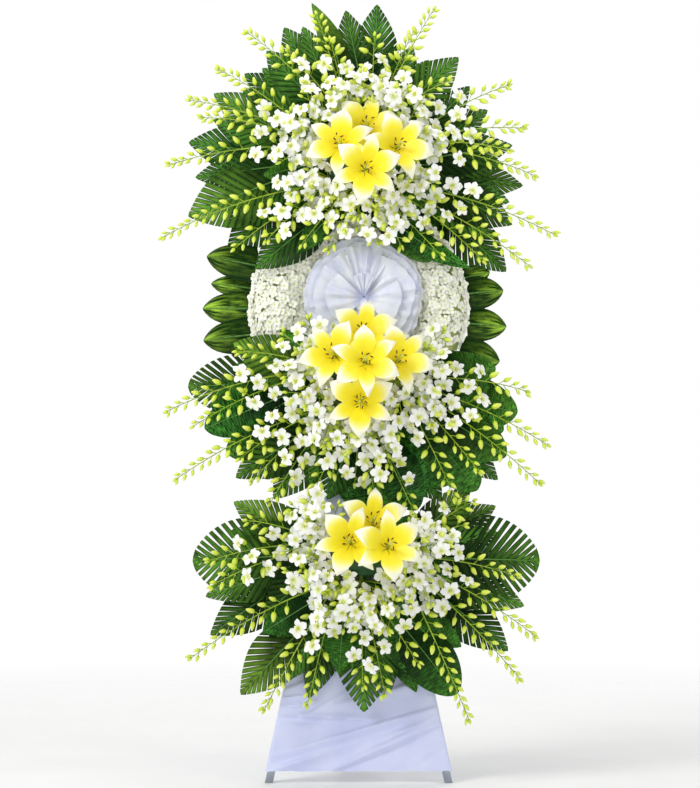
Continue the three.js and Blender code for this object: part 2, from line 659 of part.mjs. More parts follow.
const TIERS = [
  {
    name: "top",
    heart: TOP_HEART,
    tie: -38,
    back: BRICK_BACK,
    leaves: {
      upper_left: { at: 125, set: [
        [107, 430, "strap", 68, -72], [119, 408, "palm", 130, -26],
        [130, 378, "fern", 110, -52], [142, 382, "palm", 118, -24],
      ] },
      upper_right: { at: 62, set: [
        [84, 414, "palm", 122, -52], [66, 335, "fern", 110, -24], [47, 372, "palm", 132, -54],
      ] },
      left: { at: 176, set: [
        [155, 418, "palm", 118, -54], [173, 448, "palm", 135, -24],
        [198, 466, "palm", 160, -54], [214, 415, "palm", 130, -24],
      ] },
      right: { at: -6, set: [
        [23, 358, "fern", 105, -22], [6, 394, "palm", 112, -54], [-8, 424, "palm", 112, -24],
        [-23, 424, "palm", 122, -54], [-37, 470, "palm", 132, -22],
      ] },
      lower: { at: 272, rootDepth: -70, set: [
        [227, 395, "palm", 125, -112], [237, 300, "small", 62, -136],
        [-56, 322, "broad", 100, -102], [-46, 402, "strap", 60, -126],
      ] },
    },
    sprays: {
      upper_left: { at: 112, set: [
        [-113, 373, 3], [-290, 326, 3], [-185, 275, 2], [-77, 300, 2, -130],
      ] },
      upper_right: { at: 66, set: [
        [188, 386, 3], [136, 330, 1], [36, 312, 3, -130], [224, 193, 2, -135],
      ] },
      left: { at: 163, set: [[-365, 229, 2], [-437, 149, 3], [-403, 98, 2, -135], [-488, -18, 3]] },
      lower_left: { at: 222, set: [[-506, -206, 3], [-321, -239, 3, -130], [-240, -222, 3, -150]] },
      lower: { at: 268, depth: -114, set: [
        [-150, -235, 3, -165], [-80, -250, 3, -170], [-10, -190, 3, -165],
        [42, -226, 2, -170], [103, -236, 3, -165], [205, -262, 3, -150],
      ] },
      lower_right: { at: -46, set: [[311, -270, 3, -130], [429, -278, 3], [493, -198, 3]] },
      right: { at: 17, set: [[445, -46, 3], [416, 77, 3], [380, 13, 2, -140], [378, 188, 3]] },
    },
    lilies: {
      left: { x: -53, z: 16, y: -244, turn: 24, holeX: -45, holeZ: 10 },
      upper: { x: 16, z: 68, y: -200, turn: 75, holeX: 5, holeZ: 35 },
      right: { x: 98, z: 8, y: -246, turn: 50, holeX: 52, holeZ: 5 },
      lower: { x: 15, z: -60, y: -296, turn: 80, holeX: 5, holeZ: -14 },
    },
  },
  {
    name: "middle",
    heart: MIDDLE_HEART,
    tie: -38,
    back: BRICK_BACK,
    leaves: {
      left: { at: 178, set: [
        [182, 456, "fan", 158, -62], [165, 352, "fern", 122, -106],
        [150, 255, "small", 90, -102], [197, 430, "broad", 118, -92],
      ] },
      lower_left: { at: 232, set: [
        [207, 402, "broad", 112, -48], [217, 416, "palm", 130, -78], [232, 384, "palm", 132, -48],
      ] },
      lower: { at: 280, set: [
        [252, 322, "fern", 120, -82], [269, 338, "broad", 168, -50],
        [-69, 356, "broad", 120, -82], [-58, 362, "fern", 112, -50],
      ] },
      right: { at: -10, set: [
        [5, 330, "broad", 122, -98], [-12, 394, "broad", 140, -64], [-29, 405, "broad", 118, -94],
        [-37, 420, "palm", 110, -42], [-45, 398, "broad", 128, -72],
      ] },
    },
    sprays: {
      left: { at: 166, depth: -124, set: [
        [-211, 108, 1, -150], [-329, 66, 3, -135], [-506, -82, 3], [-437, -123, 3, -135],
      ] },
      lower_left: { at: 222, set: [
        [-481, -254, 3], [-321, -206, 3, -140], [-290, -262, 3], [-244, -316, 3],
      ] },
      lower: { at: 270, set: [
        [-150, -322, 3, -120], [-88, -244, 3, -150], [-30, -268, 3, -130],
        [18, -286, 2, -150], [60, -226, 3, -165], [121, -344, 3, -125],
      ] },
      right: { at: -6, depth: -118, set: [
        [222, -303, 3, -135], [283, -240, 3, -150], [437, -265, 3],
        [457, -167, 3], [406, -31, 3], [193, 112, 1, -150],
      ] },
    },
    lilies: {
      upper: { x: -8, z: 112, y: -216, turn: 80, holeX: -15, holeZ: 38 },
      left: { x: -84, z: 48, y: -266, turn: 10, holeX: -62, holeZ: 22 },
      centre: { x: -3, z: 24, y: -322, turn: 35, holeX: -14, holeZ: 6 },
      right: { x: 82, z: 38, y: -246, turn: 45, holeX: 42, holeZ: 20 },
      lower: { x: -16, z: -74, y: -270, turn: 88, holeX: -18, holeZ: -16 },
    },
  },
  {
    name: "bottom",
    heart: BOTTOM_HEART,
    tie: -36,
    back: CLOTH_FRONT - 3,
    leaves: {
      left: { at: 178, set: [
        [158, 366, "palm", 120, -28], [182, 442, "fan", 205, -62], [207, 446, "palm", 125, -28],
      ] },
      lower_left: { at: 236, set: [
        [228, 476, "palm", 140, -60], [217, 330, "small", 95, -86],
        [248, 392, "palm", 104, -30], [257, 310, "small", 90, -88],
      ] },
      lower_right: { at: 288, set: [
        [269, 398, "fan", 158, -60], [-70, 370, "small", 66, -30],
        [-57, 420, "broad", 132, -62], [-44, 335, "small", 90, -34],
      ] },
      right: { at: -4, set: [
        [-34, 434, "palm", 125, -30], [-2, 440, "fan", 225, -66],
        [21, 354, "palm", 112, -28], [33, 318, "fern", 95, -58],
      ] },
    },
    sprays: {
      left: { at: 165, set: [
        [-303, 85, 3], [-188, 123, 3, -135], [-398, -18, 3], [-391, -82, 3, -130],
      ] },
      lower_left: { at: 224, set: [[-442, -262, 3], [-257, -391, 3], [-149, -380, 3]] },
      lower: { at: 270, set: [
        [-58, -193, 3, -170], [-10, -334, 3], [46, -352, 3], [129, -278, 3, -130],
      ] },
      right: { at: -8, set: [
        [257, -416, 3], [386, -314, 3], [424, -206, 3],
        [380, -57, 3], [270, 134, 3], [245, 72, 2, -140],
      ] },
    },
    lilies: {
      left: { x: -43, z: 24, y: -262, turn: 70, holeX: -50, holeZ: 8 },
      upper: { x: 18, z: 78, y: -208, turn: 85, holeX: -5, holeZ: 30 },
      right: { x: 56, z: 12, y: -300, turn: 95, holeX: 38, holeZ: 4 },
    },
  },
];

function tierGroup(tier) {
  const group = new THREE.Group();
  group.position.set(tier.heart.x, 0, tier.heart.z);
  const halfWidth = BRICK.width / 2;
  const halfHeight = BRICK.height / 2;
  const front = tier.back - BRICK.depth;
  const shift = BRICK_X - tier.heart.x;
  const low = v3(shift - halfWidth, front, -halfHeight);
  const high = v3(shift + halfWidth, tier.back, halfHeight);
  let brick = boxSolid(low, high);
  for (const [where, bunch] of Object.entries(tier.leaves)) {
    const { root, inward } = sideRoot(bunch.at, bunch.rootDepth ?? LEAF_DEPTH, shift);
    brick = brick.subtract(holeSolid(root, inward));
    group.add(meshOf(`${tier.name}_leaves_${where}`, leafBunch(root, inward, bunch.set), "frond"));
  }
  const bunches = Object.entries(tier.sprays).map(([where, bunch]) => {
    const { root, inward } = sideRoot(bunch.at, bunch.depth ?? SPRAY_DEPTH, shift);
    const deep = (SPRAY_PITCH * bunch.set.length) / 2;
    const lines = bunch.set.map(([x, z, blooms, tipDepth], i) => {
      const start = root.clone().add(v3(0, SPRAY_PITCH * (i + 0.5) - deep, 0));
      return Object.assign(sprayLine(start, v3(x, tipDepth ?? -105, z), i % 2 ? 34 : 58), { blooms });
    });
    return { where, root, inward, deep, lines };
  });
  const keptClear = new THREE.Box3(low, high).expandByScalar(ORCHID.petal);
  placeBlooms(bunches.flatMap((bunch) => bunch.lines), keptClear);
  for (const { where, root, inward, deep, lines } of bunches) {
    brick = brick.subtract(holeSolid(root, inward, deep));
    lines.forEach(placeBuds);
    const bunch = joined([stubSolid(root, inward, deep), ...lines.map(spraySolid)]);
    group.add(meshOf(`${tier.name}_orchids_${where}`, bunch, "orchid"));
  }
  for (const [where, lily] of Object.entries(tier.lilies)) {
    const hole = rodSolid(
      v3(lily.holeX, front - 5, lily.holeZ),
      v3(lily.holeX, front + HOLE.depth, lily.holeZ),
      8,
      5,
    );
    brick = brick.subtract(hole);
    group.add(meshOf(`${tier.name}_lily_${where}`, lilySolid(front, lily), "lily"));
  }
  group.add(meshOf(`${tier.name}_floral_brick`, brick, "foam"));
  return group;
}

// A cable tie round a brick and the mast behind it
function tieSolid(height, back, room = 0.6, tall = TIE.tall) {
  const half = BRICK.width / 2 + room;
  const front = back - BRICK.depth - room;
  const behind = TUBE / 2 + room;
  const ring = (grow, depth) =>
    boxSolid(
      v3(BRICK_X - half - grow, front - grow, height - depth / 2),
      v3(BRICK_X + half + grow, behind + grow, height + depth / 2),
    );
  return ring(TIE.wall, tall).subtract(ring(0, tall * 2));
}

// Pad of florets: a round board, cut flat below, and a cushion of florets that stands highest in a ring

function padMeshes() {
  const board = new THREE.CylinderGeometry(PAD.backing, PAD.backing, PAD.backingDepth, 40);
  board.translate(0, -BRICK_BACK + PAD.backingDepth / 2, 0).rotateX(Math.PI);
  const cut = boxSolid(v3(-400, -400, -400), v3(400, 400, PAD.chord));
  const group = new THREE.Group();
  group.position.set(0, 0, PAD.z);
  let boardSolid = solidOf(board).subtract(cut);
  for (const [where, sign] of [["left", -1], ["right", 1]]) {
    const root = v3(sign * (PAD.backing + STUB.outside), BRICK_BACK - PAD.backingDepth / 2, 0);
    const inward = v3(-sign, 0, 0);
    boardSolid = boardSolid.subtract(holeSolid(root, inward));
    group.add(meshOf(`pad_leaves_${where}`, leafBunch(root, inward, PAD_LEAVES[where]), "frond"));
  }
  group.add(meshOf("pad_board", boardSolid, "board"));

  const rows = 4;
  const around = 31;
  const back = BRICK_BACK - PAD.backingDepth - GAP;
  const inner = 108;
  const faceAt = (radius) => {
    const swell = Math.exp(-(((radius - PAD.crest) / 62) ** 2));
    const rim = THREE.MathUtils.smoothstep(radius, PAD.radius - 34, PAD.radius);
    return back - 18 - 24 * swell * (1 - rim) + 10 * rim;
  };
  const points = [];
  const faces = [];
  const grid = [];
  for (let j = 0; j <= rows; j++) {
    const radius = inner + ((PAD.radius - inner) * j) / rows;
    grid.push(Array.from({ length: around }, (_, k) => {
      const angle = (2 * Math.PI * (k + (j % 2) / 2)) / around;
      return points.push(v3(radius * Math.cos(angle), faceAt(radius), radius * Math.sin(angle))) - 1;
    }));
  }
  for (let j = 0; j < rows; j++) {
    const near = grid[j];
    const far = grid[j + 1];
    for (let k = 0; k < around; k++) {
      const l = (k + 1) % around;
      const cells = j % 2
        ? [[near[k], far[l], near[l]], [near[k], far[k], far[l]]]
        : [[near[k], far[k], near[l]], [far[k], far[l], near[l]]];
      for (const [a, b, c] of cells) {
        const top = points[a].clone().add(points[b]).add(points[c]).divideScalar(3);
        top.y -= 8;
        const peak = points.push(top) - 1;
        faces.push([a, b, peak], [b, c, peak], [c, a, peak]);
      }
    }
  }
  const hub = points.push(v3(0, faceAt(inner), 0)) - 1;
  const rimBack = grid[rows].map((i) =>
    points.push(points[i].clone().multiplyScalar(0.965).setY(back)) - 1,
  );
  const backHub = points.push(v3(0, back, 0)) - 1;
  for (let k = 0; k < around; k++) {
    const l = (k + 1) % around;
    faces.push([grid[0][k], grid[0][l], hub]);
    faces.push([grid[rows][k], rimBack[l], grid[rows][l]], [grid[rows][k], rimBack[k], rimBack[l]]);
    faces.push([rimBack[k], backHub, rimBack[l]]);
  }
  let cushion = solidFrom(points, faces);
  cushion = cushion.subtract(cut.translate([0, 0, GAP]));
  group.add(meshOf("floret_cushion", cushion, "floret"));
  return group;
}

// Tulle rosette: a wide pleated round behind and two half fans in front, gathered at one point

function rosetteSolid() {
  const points = [];
  const steps = ROSETTE.pleats * 2;
  const ring = (reachAt, depthAt) => Array.from({ length: steps }, (_, k) => {
    const angle = (2 * Math.PI * (k + 0.5)) / steps;
    const reach = reachAt(angle, k % 2);
    return points.push(v3(reach * Math.cos(angle), depthAt(k % 2), reach * Math.sin(angle))) - 1;
  });
  const seam = (angle) => Math.exp(-((Math.cos(angle) / 0.3) ** 2));
  const fans = (angle) => ROSETTE.radius * (0.74 - (Math.sin(angle) > 0 ? 0.12 : 0.42) * seam(angle));
  const gather = points.push(v3(0, -6, 0)) - 1;
  const fanRim = ring(
    (angle, crease) => fans(angle) * (crease ? 0.96 : 1),
    (crease) => (crease ? -30 : -42),
  );
  const valley = ring((angle) => fans(angle) - 9, (crease) => (crease ? -12 : -17));
  const rim = ring(
    (angle, crease) => ROSETTE.radius * (crease ? 0.965 : 1),
    (crease) => (crease ? -6 : -18),
  );
  const back = points.push(v3(0, 0, 0)) - 1;
  const faces = [];
  for (let k = 0; k < steps; k++) {
    const l = (k + 1) % steps;
    faces.push([gather, fanRim[k], fanRim[l]]);
    faces.push([fanRim[k], valley[k], valley[l]], [fanRim[k], valley[l], fanRim[l]]);
    faces.push([valley[k], rim[k], rim[l]], [valley[k], rim[l], valley[l]]);
    faces.push([rim[k], back, rim[l]]);
  }
  return solidFrom(points, faces);
}

// White cloth stretched round the front of the easel, its edges turned in behind the legs

function clothSolid() {
  const low = 28;
  const high = 800;
  const wall = 1.6;
  const inner = TUBE / 2 + 2.2;
  const turnedIn = 16;
  const points = [];
  for (const z of [low, high]) {
    const out = legX(z) + TUBE / 2 + 3;
    const ring = [
      [out - turnedIn, inner + wall], [out + wall, inner + wall], [out + wall, -inner - wall],
      [-out - wall, -inner - wall], [-out - wall, inner + wall], [-out + turnedIn, inner + wall],
      [-out + turnedIn, inner], [-out, inner], [-out, -inner],
      [out, -inner], [out, inner], [out - turnedIn, inner],
    ];
    points.push(...ring.map(([x, y]) => v3(x, y, z)));
  }
  const faces = [];
  const count = 12;
  for (let i = 0; i < count; i++) {
    const j = (i + 1) % count;
    faces.push([i, i + count, j + count], [i, j + count, j]);
  }
  const quads = [[0, 1, 10, 11], [1, 2, 9, 10], [2, 3, 8, 9], [3, 4, 7, 8], [4, 5, 6, 7]];
  for (const [a, b, c, d] of quads) {
    faces.push([a, b, c], [a, c, d]);
    faces.push([a + count, c + count, b + count], [a + count, d + count, c + count]);
  }
  return solidFrom(points, faces);
}

// Assembly

const easel = new THREE.Group();
easel.rotation.x = -LEAN;
easel.add(...easelMeshes());
for (const tier of TIERS) {
  easel.add(tierGroup(tier));
  easel.add(meshOf(`${tier.name}_brick_tie`, tieSolid(tier.heart.z + tier.tie, tier.back), "tie"));
}
easel.add(padMeshes());
const rosette = meshOf("tulle_rosette", rosetteSolid(), "tulle");
rosette.position.set(ROSETTE.x, -96, ROSETTE.z);
easel.add(rosette);
const [, , bottomTier] = TIERS;
const slits = [-1, 1].map((side) => {
  const x = BRICK_X + side * (BRICK.width / 2 + 1.3);
  const z = bottomTier.heart.z + bottomTier.tie;
  return boxSolid(v3(x - 2, -20, z - 7), v3(x + 2, 0, z + 7));
});
easel.add(meshOf("stand_cloth", clothSolid().subtract(joined(slits)), "cloth"));

// The origin is on the floor, under the middle of the object's bounding box
const wreath = new THREE.Group();
wreath.add(easel);
wreath.updateMatrixWorld(true);
const bounds = new THREE.Box3().setFromObject(wreath, true);
const middle = bounds.getCenter(v3(0, 0, 0));
easel.position.set(-middle.x, -middle.y, 0);

export default wreath;
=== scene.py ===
import math
import random

import bpy
from mathutils import Matrix, Vector, noise


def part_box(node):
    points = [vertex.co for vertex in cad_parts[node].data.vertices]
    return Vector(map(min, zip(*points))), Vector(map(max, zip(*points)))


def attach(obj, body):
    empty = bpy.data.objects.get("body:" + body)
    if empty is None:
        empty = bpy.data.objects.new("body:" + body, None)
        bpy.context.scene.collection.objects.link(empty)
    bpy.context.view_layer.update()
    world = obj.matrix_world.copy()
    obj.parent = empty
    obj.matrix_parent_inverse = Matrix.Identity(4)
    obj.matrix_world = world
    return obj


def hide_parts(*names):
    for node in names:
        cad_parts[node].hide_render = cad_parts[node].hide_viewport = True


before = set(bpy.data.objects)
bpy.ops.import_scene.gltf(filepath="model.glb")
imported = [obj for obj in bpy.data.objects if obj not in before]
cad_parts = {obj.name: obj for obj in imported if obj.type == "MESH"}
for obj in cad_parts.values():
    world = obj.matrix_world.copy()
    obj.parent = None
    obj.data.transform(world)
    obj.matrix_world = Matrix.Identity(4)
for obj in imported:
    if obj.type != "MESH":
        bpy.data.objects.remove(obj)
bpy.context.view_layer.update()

# The camera stands straight in front, at chest height, and far back, as the photographer did. The
# picture is 700 x 788 pixels, and one of them spans 2.54 mm where the front feet stand.
VIEW_DISTANCE = 8.0
PICTURE_HEIGHT = 788 * 0.00254
camera_data = bpy.data.cameras.new("photo_camera")
camera_data.sensor_fit = "VERTICAL"
camera_data.sensor_height = 24
camera_data.lens = 24 * VIEW_DISTANCE / PICTURE_HEIGHT
camera = bpy.data.objects.new("photo_camera", camera_data)
camera.location = (-0.0206, -VIEW_DISTANCE - 0.08, 0.987)
camera.rotation_euler = (math.radians(90), 0, 0)
bpy.context.scene.collection.objects.link(camera)
bpy.context.scene.camera = camera
bpy.context.scene.view_settings.view_transform = "Standard"


# Easel of 20 mm square stainless tube, welded and polished. It leans back by 6 degrees, so every
# piece is made upright, as on the bench, and then leant with it. Each tube keeps its packed form
# and gets its edges rounded.
LEAN = math.radians(6)
mast_low, mast_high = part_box("mast")
leg_low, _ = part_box("front_leg_left")
shift = Vector(((mast_low.x + mast_high.x) / 2, leg_low.y + 0.010 / math.cos(LEAN), 0))
LEANT = Matrix.Translation(shift) @ Matrix.Rotation(-LEAN, 4, "X")


def linear(code):
    parts = [int(code[i:i + 2], 16) / 255 for i in (1, 3, 5)]
    return [p / 12.92 if p <= 0.04045 else ((p + 0.055) / 1.055) ** 2.4 for p in parts] + [1.0]


MAIN_OUTPUT = {
    "TexCoord": "Object", "UVMap": "UV", "Attribute": "Fac", "TexNoise": "Fac", "TexWave": "Fac",
    "TexVoronoi": "Distance", "Mapping": "Vector", "MapRange": "Result", "Math": "Value",
    "VectorMath": "Value", "Mix": "Result", "ValToRGB": "Color", "Bump": "Normal", "BsdfPrincipled": "BSDF",
}


def add_node(material, kind, inputs=None, stops=(), **settings):
    """Adds a shader node, with colour stops if a ramp, and gives back its main output where it has one."""
    node = material.node_tree.nodes.new("ShaderNode" + kind)
    for name, value in settings.items():
        setattr(node, name, value)
    for socket, value in (inputs or {}).items():
        if isinstance(value, bpy.types.NodeSocket):
            material.node_tree.links.new(value, node.inputs[socket])
        else:
            node.inputs[socket].default_value = value
    if stops:
        elements = node.color_ramp.elements
        while len(elements) < len(stops):
            elements.new(0.5)
        for element, (position, code) in zip(elements, stops):
            element.position = position
            element.color = linear(code)
    return node.outputs[MAIN_OUTPUT[kind]] if kind in MAIN_OUTPUT else node


def new_material(name):
    material = bpy.data.materials.new(name)
    material.use_nodes = True
    material.node_tree.nodes.clear()
    return material


def finish_material(material, colour, roughness, bump=None, more=None):
    """The shader and the output. Bump is its height, strength and distance in metres."""
    inputs = {"Base Color": colour, "Roughness": roughness, **(more or {})}
    if bump:
        inputs["Normal"] = add_node(material, "Bump", dict(zip(("Height", "Strength", "Distance"), bump)))
    add_node(material, "OutputMaterial", {"Surface": add_node(material, "BsdfPrincipled", inputs)})
    return material


def only(piece):
    bpy.ops.object.select_all(action="DESELECT")
    piece.select_set(True)
    bpy.context.view_layer.objects.active = piece


def modify(piece, kind, **settings):
    only(piece)
    modifier = piece.modifiers.new(kind.title(), kind)
    for name, value in settings.items():
        setattr(modifier, name, value)
    bpy.ops.object.modifier_apply(modifier=modifier.name)


def own_copy_of_node(node, name):
    piece = bpy.data.objects.new(name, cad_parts[node].data.copy())
    bpy.context.scene.collection.objects.link(piece)
    piece.data.materials.clear()
    only(piece)
    bpy.ops.object.mode_set(mode="EDIT")
    bpy.ops.mesh.select_all(action="SELECT")
    bpy.ops.mesh.remove_doubles(threshold=0.00002)
    bpy.ops.mesh.dissolve_limited(angle_limit=math.radians(1))
    bpy.ops.object.mode_set(mode="OBJECT")
    return piece


def rounded_copy(node, name, material, width, segments=2, sharp=50):
    """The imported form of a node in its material, with edges that turn by more than this rounded."""
    piece = own_copy_of_node(node, name)
    piece.data.materials.append(material)
    modify(piece, "BEVEL", width=width, segments=segments, limit_method="ANGLE",
           angle_limit=math.radians(sharp))
    return piece


def smooth_by_angle(piece, degrees):
    only(piece)
    bpy.ops.object.shade_smooth_by_angle(angle=math.radians(degrees))


def join(name, pieces):
    bpy.ops.object.select_all(action="DESELECT")
    for piece in pieces:
        piece.select_set(True)
    bpy.context.view_layer.objects.active = pieces[0]
    bpy.ops.object.join()
    pieces[0].name = name
    return pieces[0]


def part_for(piece, slot, *nodes):
    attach(piece, "root")
    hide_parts(*nodes)


# Polished stainless steel: bright and a little blue, with faint lines where the belt ran along it
steel = new_material("Polished stainless steel tube")
place = add_node(steel, "TexCoord")
run = add_node(steel, "Mapping", {"Vector": place, "Scale": (900, 900, 14)})
belt_lines = add_node(steel, "TexNoise", {"Vector": run, "Scale": 1.0, "Detail": 3.0})
smears = add_node(steel, "TexNoise", {"Vector": place, "Scale": 22.0, "Detail": 4.0})
colour = add_node(steel, "ValToRGB", {"Fac": smears}, [(0.3, "#8F96A3"), (0.7, "#B4BAC4")])
rough = add_node(steel, "MapRange", {"Value": smears, "To Min": 0.12, "To Max": 0.34})
finish_material(steel, colour, rough, (belt_lines, 0.08, 0.0004), {"Metallic": 1.0})

for tube in ["front_leg_left", "front_leg_right", "mast", "low_crossbar", "middle_crossbar_left",
             "middle_crossbar_right", "rear_leg", "rear_brace"]:
    piece = rounded_copy(tube, tube + "_tube", steel, 0.0011, sharp=40)
    smooth_by_angle(piece, 45)
    part_for(piece, "steel", tube)


# Satin cloth drawn round the front of the easel and turned in behind the legs, where it is pinned.
# It pulls up to the right, so long soft folds run across it, and it gathers at the left edge.
CLOTH_LOW = 0.028
CLOTH_HIGH = 0.800
CLOTH_FACE = 0.0138
CLOTH_TURN = 0.016
CORNER = 0.006
# Each fold: from x, z to x, z in mm, how high it stands and how wide it is. It falls away steeply on
# its upper side, or on its lower side where the width is negative.
FOLDS = [
    (-206, 74, 200, 190, 5.0, 9), (-76, 26, 212, 150, 5.4, -10), (-198, 171, 20, 157, 4.2, -7),
    (-140, 166, -50, 220, 4.6, 10), (-215, 40, 140, 140, 2.6, 12), (-222, 30, -96, 76, 3.8, 8),
    (10, 78, 200, 168, 4.0, -8), (-40, 200, 190, 262, 4.4, 14), (-186, 232, 60, 330, 5.0, 16),
    (-120, 300, 160, 420, 5.0, 18), (-150, 380, 130, 560, 4.0, 16), (150, 60, 216, 104, 3.2, 7),
    (-60, 640, -20, 760, 3.2, 11), (30, 620, 60, 790, 3.6, 10), (-90, 600, 70, 700, 3.0, 14),
    (-196, 190, -120, 205, 3.4, 5), (-192, 214, -130, 222, 3.0, 5), (-190, 150, -110, 146, 3.0, 5),
]


def fold_height(x, z):
    height = 0.0
    for ax, az, bx, bz, tall, wide in FOLDS:
        along = Vector((bx - ax, bz - az)) / 1000
        arm = Vector((x - ax / 1000, z - az / 1000))
        share = arm.dot(along) / along.length_squared
        below = (arm.x * along.y - arm.y * along.x) / along.length * 1000 / wide
        ends = max(0.0, 1 - max(-share, share - 1, 0) * 3)
        ends *= 0.55 + 0.45 * math.sin(math.pi * min(max(share, 0), 1))
        steepness = 0.6 if below > 0 else 2.6
        height += tall * ends * math.exp(-(below * steepness) ** 2)
    height += 2.2 * noise.noise(Vector((x * 7, z * 9 - x * 3, 0.4)))
    return max(height * 2.2, -2.0) / 1000


def cloth_section(z):
    """Half of the cloth's line round the easel at this height, from the middle of the front."""
    leg_x = 0.228 - 0.214 * z
    edge = leg_x + 0.0146
    turns = [math.radians(90 * k / 6) for k in range(1, 6)]
    path = [Vector((0, -CLOTH_FACE)), Vector((edge - CORNER, -CLOTH_FACE))]
    for turn in turns:
        x = edge - CORNER + CORNER * math.sin(turn)
        path.append(Vector((x, -CLOTH_FACE + CORNER - CORNER * math.cos(turn))))
    path += [Vector((edge, -CLOTH_FACE + CORNER)), Vector((edge, CLOTH_FACE - CORNER))]
    for turn in turns:
        x = edge - CORNER + CORNER * math.cos(turn)
        path.append(Vector((x, CLOTH_FACE - CORNER + CORNER * math.sin(turn))))
    path += [Vector((edge - CORNER, CLOTH_FACE)), Vector((edge - CLOTH_TURN, CLOTH_FACE))]
    return path


def along_path(path, share):
    lengths = [(b - a).length for a, b in zip(path, path[1:])]
    left = share * sum(lengths)
    for a, b, length in zip(path, path[1:], lengths):
        if left <= length:
            return a.lerp(b, left / length)
        left -= length
    return path[-1]


def grid(columns, rows):
    """A flat grid from -1 to 1, to be pulled to shape."""
    bpy.ops.object.select_all(action="DESELECT")
    bpy.ops.mesh.primitive_grid_add(x_subdivisions=columns, y_subdivisions=rows, size=2)
    return bpy.context.object


cloth = grid(150, 190)
cloth.name = "satin_stand_cloth"
sections = {}
for vertex in cloth.data.vertices:
    across, up = vertex.co.x, (vertex.co.y + 1) / 2
    z = CLOTH_LOW + (CLOTH_HIGH - CLOTH_LOW) * up
    if up not in sections:
        sections[up] = cloth_section(z)
    spot = along_path(sections[up], abs(across))
    x = math.copysign(spot.x, across)
    front = min(max((-spot.y - 0.009) / 0.0045, 0), 1)
    behind_flowers = 1 - 0.75 * max(0, 1 - abs(z - 0.575) / 0.11) * (abs(x) < 0.1)
    hem = 0.0008 * math.sin(x * 60) + 0.0005 * math.sin(x * 143 + 1)
    vertex.co = (x, spot.y - front * fold_height(x, z) * behind_flowers, z + hem * (1 - up) ** 6)
cloth.data.transform(LEANT)

# White satin: closely woven and lightly shiny, its shade turned lavender by the white around it
satin = new_material("White polyester satin")
place = add_node(satin, "TexCoord")
# The floats of the weave are 0.3 mm apart, drawn here at 1.2 mm so that they show
threads = add_node(satin, "TexWave", {"Vector": place, "Scale": 130.0, "Distortion": 1.2, "Detail": 1.0},
                   wave_type="BANDS", bands_direction="Z")
clouds = add_node(satin, "TexNoise", {"Vector": place, "Scale": 9.0, "Detail": 5.0})
colour = add_node(satin, "ValToRGB", {"Fac": clouds}, [(0.3, "#C9D0F6"), (0.7, "#DADFFB")])
rough = add_node(satin, "MapRange", {"Value": clouds, "To Min": 0.42, "To Max": 0.6})
finish_material(satin, colour, rough, (threads, 0.06, 0.0004),
                {"Sheen Weight": 0.35, "Sheen Roughness": 0.4})
cloth.data.materials.append(satin)
modify(cloth, "SOLIDIFY", thickness=0.0009, offset=0)
smooth_by_angle(cloth, 60)
part_for(cloth, "cloth", "stand_cloth")


# Three bricks of wet floral foam, strapped to the mast with nylon ties. They hold every stem. Each
# keeps its packed form with the holes cut for the stems, and its edges are rounded a little.
foam = new_material("Wet floral foam")
place = add_node(foam, "TexCoord")
# Foam cells of about 0.4 mm, drawn at 1.5 mm so that they show
cells = add_node(foam, "TexVoronoi", {"Vector": place, "Scale": 650.0})
blotches = add_node(foam, "TexNoise", {"Vector": place, "Scale": 40.0, "Detail": 4.0})
colour = add_node(foam, "ValToRGB", {"Fac": blotches}, [(0.35, "#1F4A2B"), (0.65, "#3A6B3F")])
finish_material(foam, colour, 0.85, (cells, 0.5, 0.001))

nylon = new_material("Green nylon cable tie")
place = add_node(nylon, "TexCoord")
# Teeth of the tie, 1.3 mm apart
teeth = add_node(nylon, "TexWave", {"Vector": place, "Scale": 120.0}, wave_type="BANDS", bands_direction="X")
haze = add_node(nylon, "TexNoise", {"Vector": place, "Scale": 60.0, "Detail": 3.0})
colour = add_node(nylon, "ValToRGB", {"Fac": haze}, [(0.3, "#1D4A25"), (0.7, "#2A5C30")])
finish_material(nylon, colour, 0.42, (teeth, 0.3, 0.0006), {"Subsurface Weight": 0.1})

for tier in ["top", "middle", "bottom"]:
    brick = rounded_copy(tier + "_floral_brick", tier + "_foam_brick", foam, 0.0028)
    smooth_by_angle(brick, 35)
    part_for(brick, "foam", tier + "_floral_brick")
    tie = rounded_copy(tier + "_brick_tie", tier + "_nylon_tie", nylon, 0.0004, 1)
    tie_low, tie_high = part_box(tier + "_brick_tie")
    # The lock of the tie, behind the mast, where the tail comes through it
    bpy.ops.mesh.primitive_cube_add(size=1)
    lock = bpy.context.object
    lock.scale = (0.014, 0.0075, 0.0135)
    bpy.ops.object.transform_apply(scale=True)
    modify(lock, "BEVEL", width=0.0012, segments=2)
    spot = Vector(((tie_low.x + tie_high.x) / 2, tie_high.y, (tie_low.z + tie_high.z) / 2))
    spot = LEANT.inverted() @ spot
    lock.data.transform(LEANT @ Matrix.Translation((0.026, 0.0155, spot.z + 0.003)))
    lock.data.materials.append(nylon)
    lock.location = (0, 0, 0)
    tie = join(tier + "_nylon_tie", [tie, lock])
    smooth_by_angle(tie, 40)
    part_for(tie, "tie", tier + "_brick_tie")


# Leaves. The large ones are palm fronds trimmed to a point or to a round; between them are plain
# broad leaves, one long strap leaf and, at the sides of the florets, small glossy leaves.
OUTLINES = {
    "pointed": lambda u: max(math.sin(math.pi * u ** 0.8), 0) ** 0.85,
    "round": lambda u: max(math.sin(math.pi * u ** 0.9), 0) ** 0.55,
    "strap": lambda u: max(math.sin(math.pi * u ** 0.8), 0) ** 0.8,
    "spear": lambda u: min(u / 0.08, 1) ** 0.5 * max(1 - u ** 3.0, 0) ** 0.75,
}
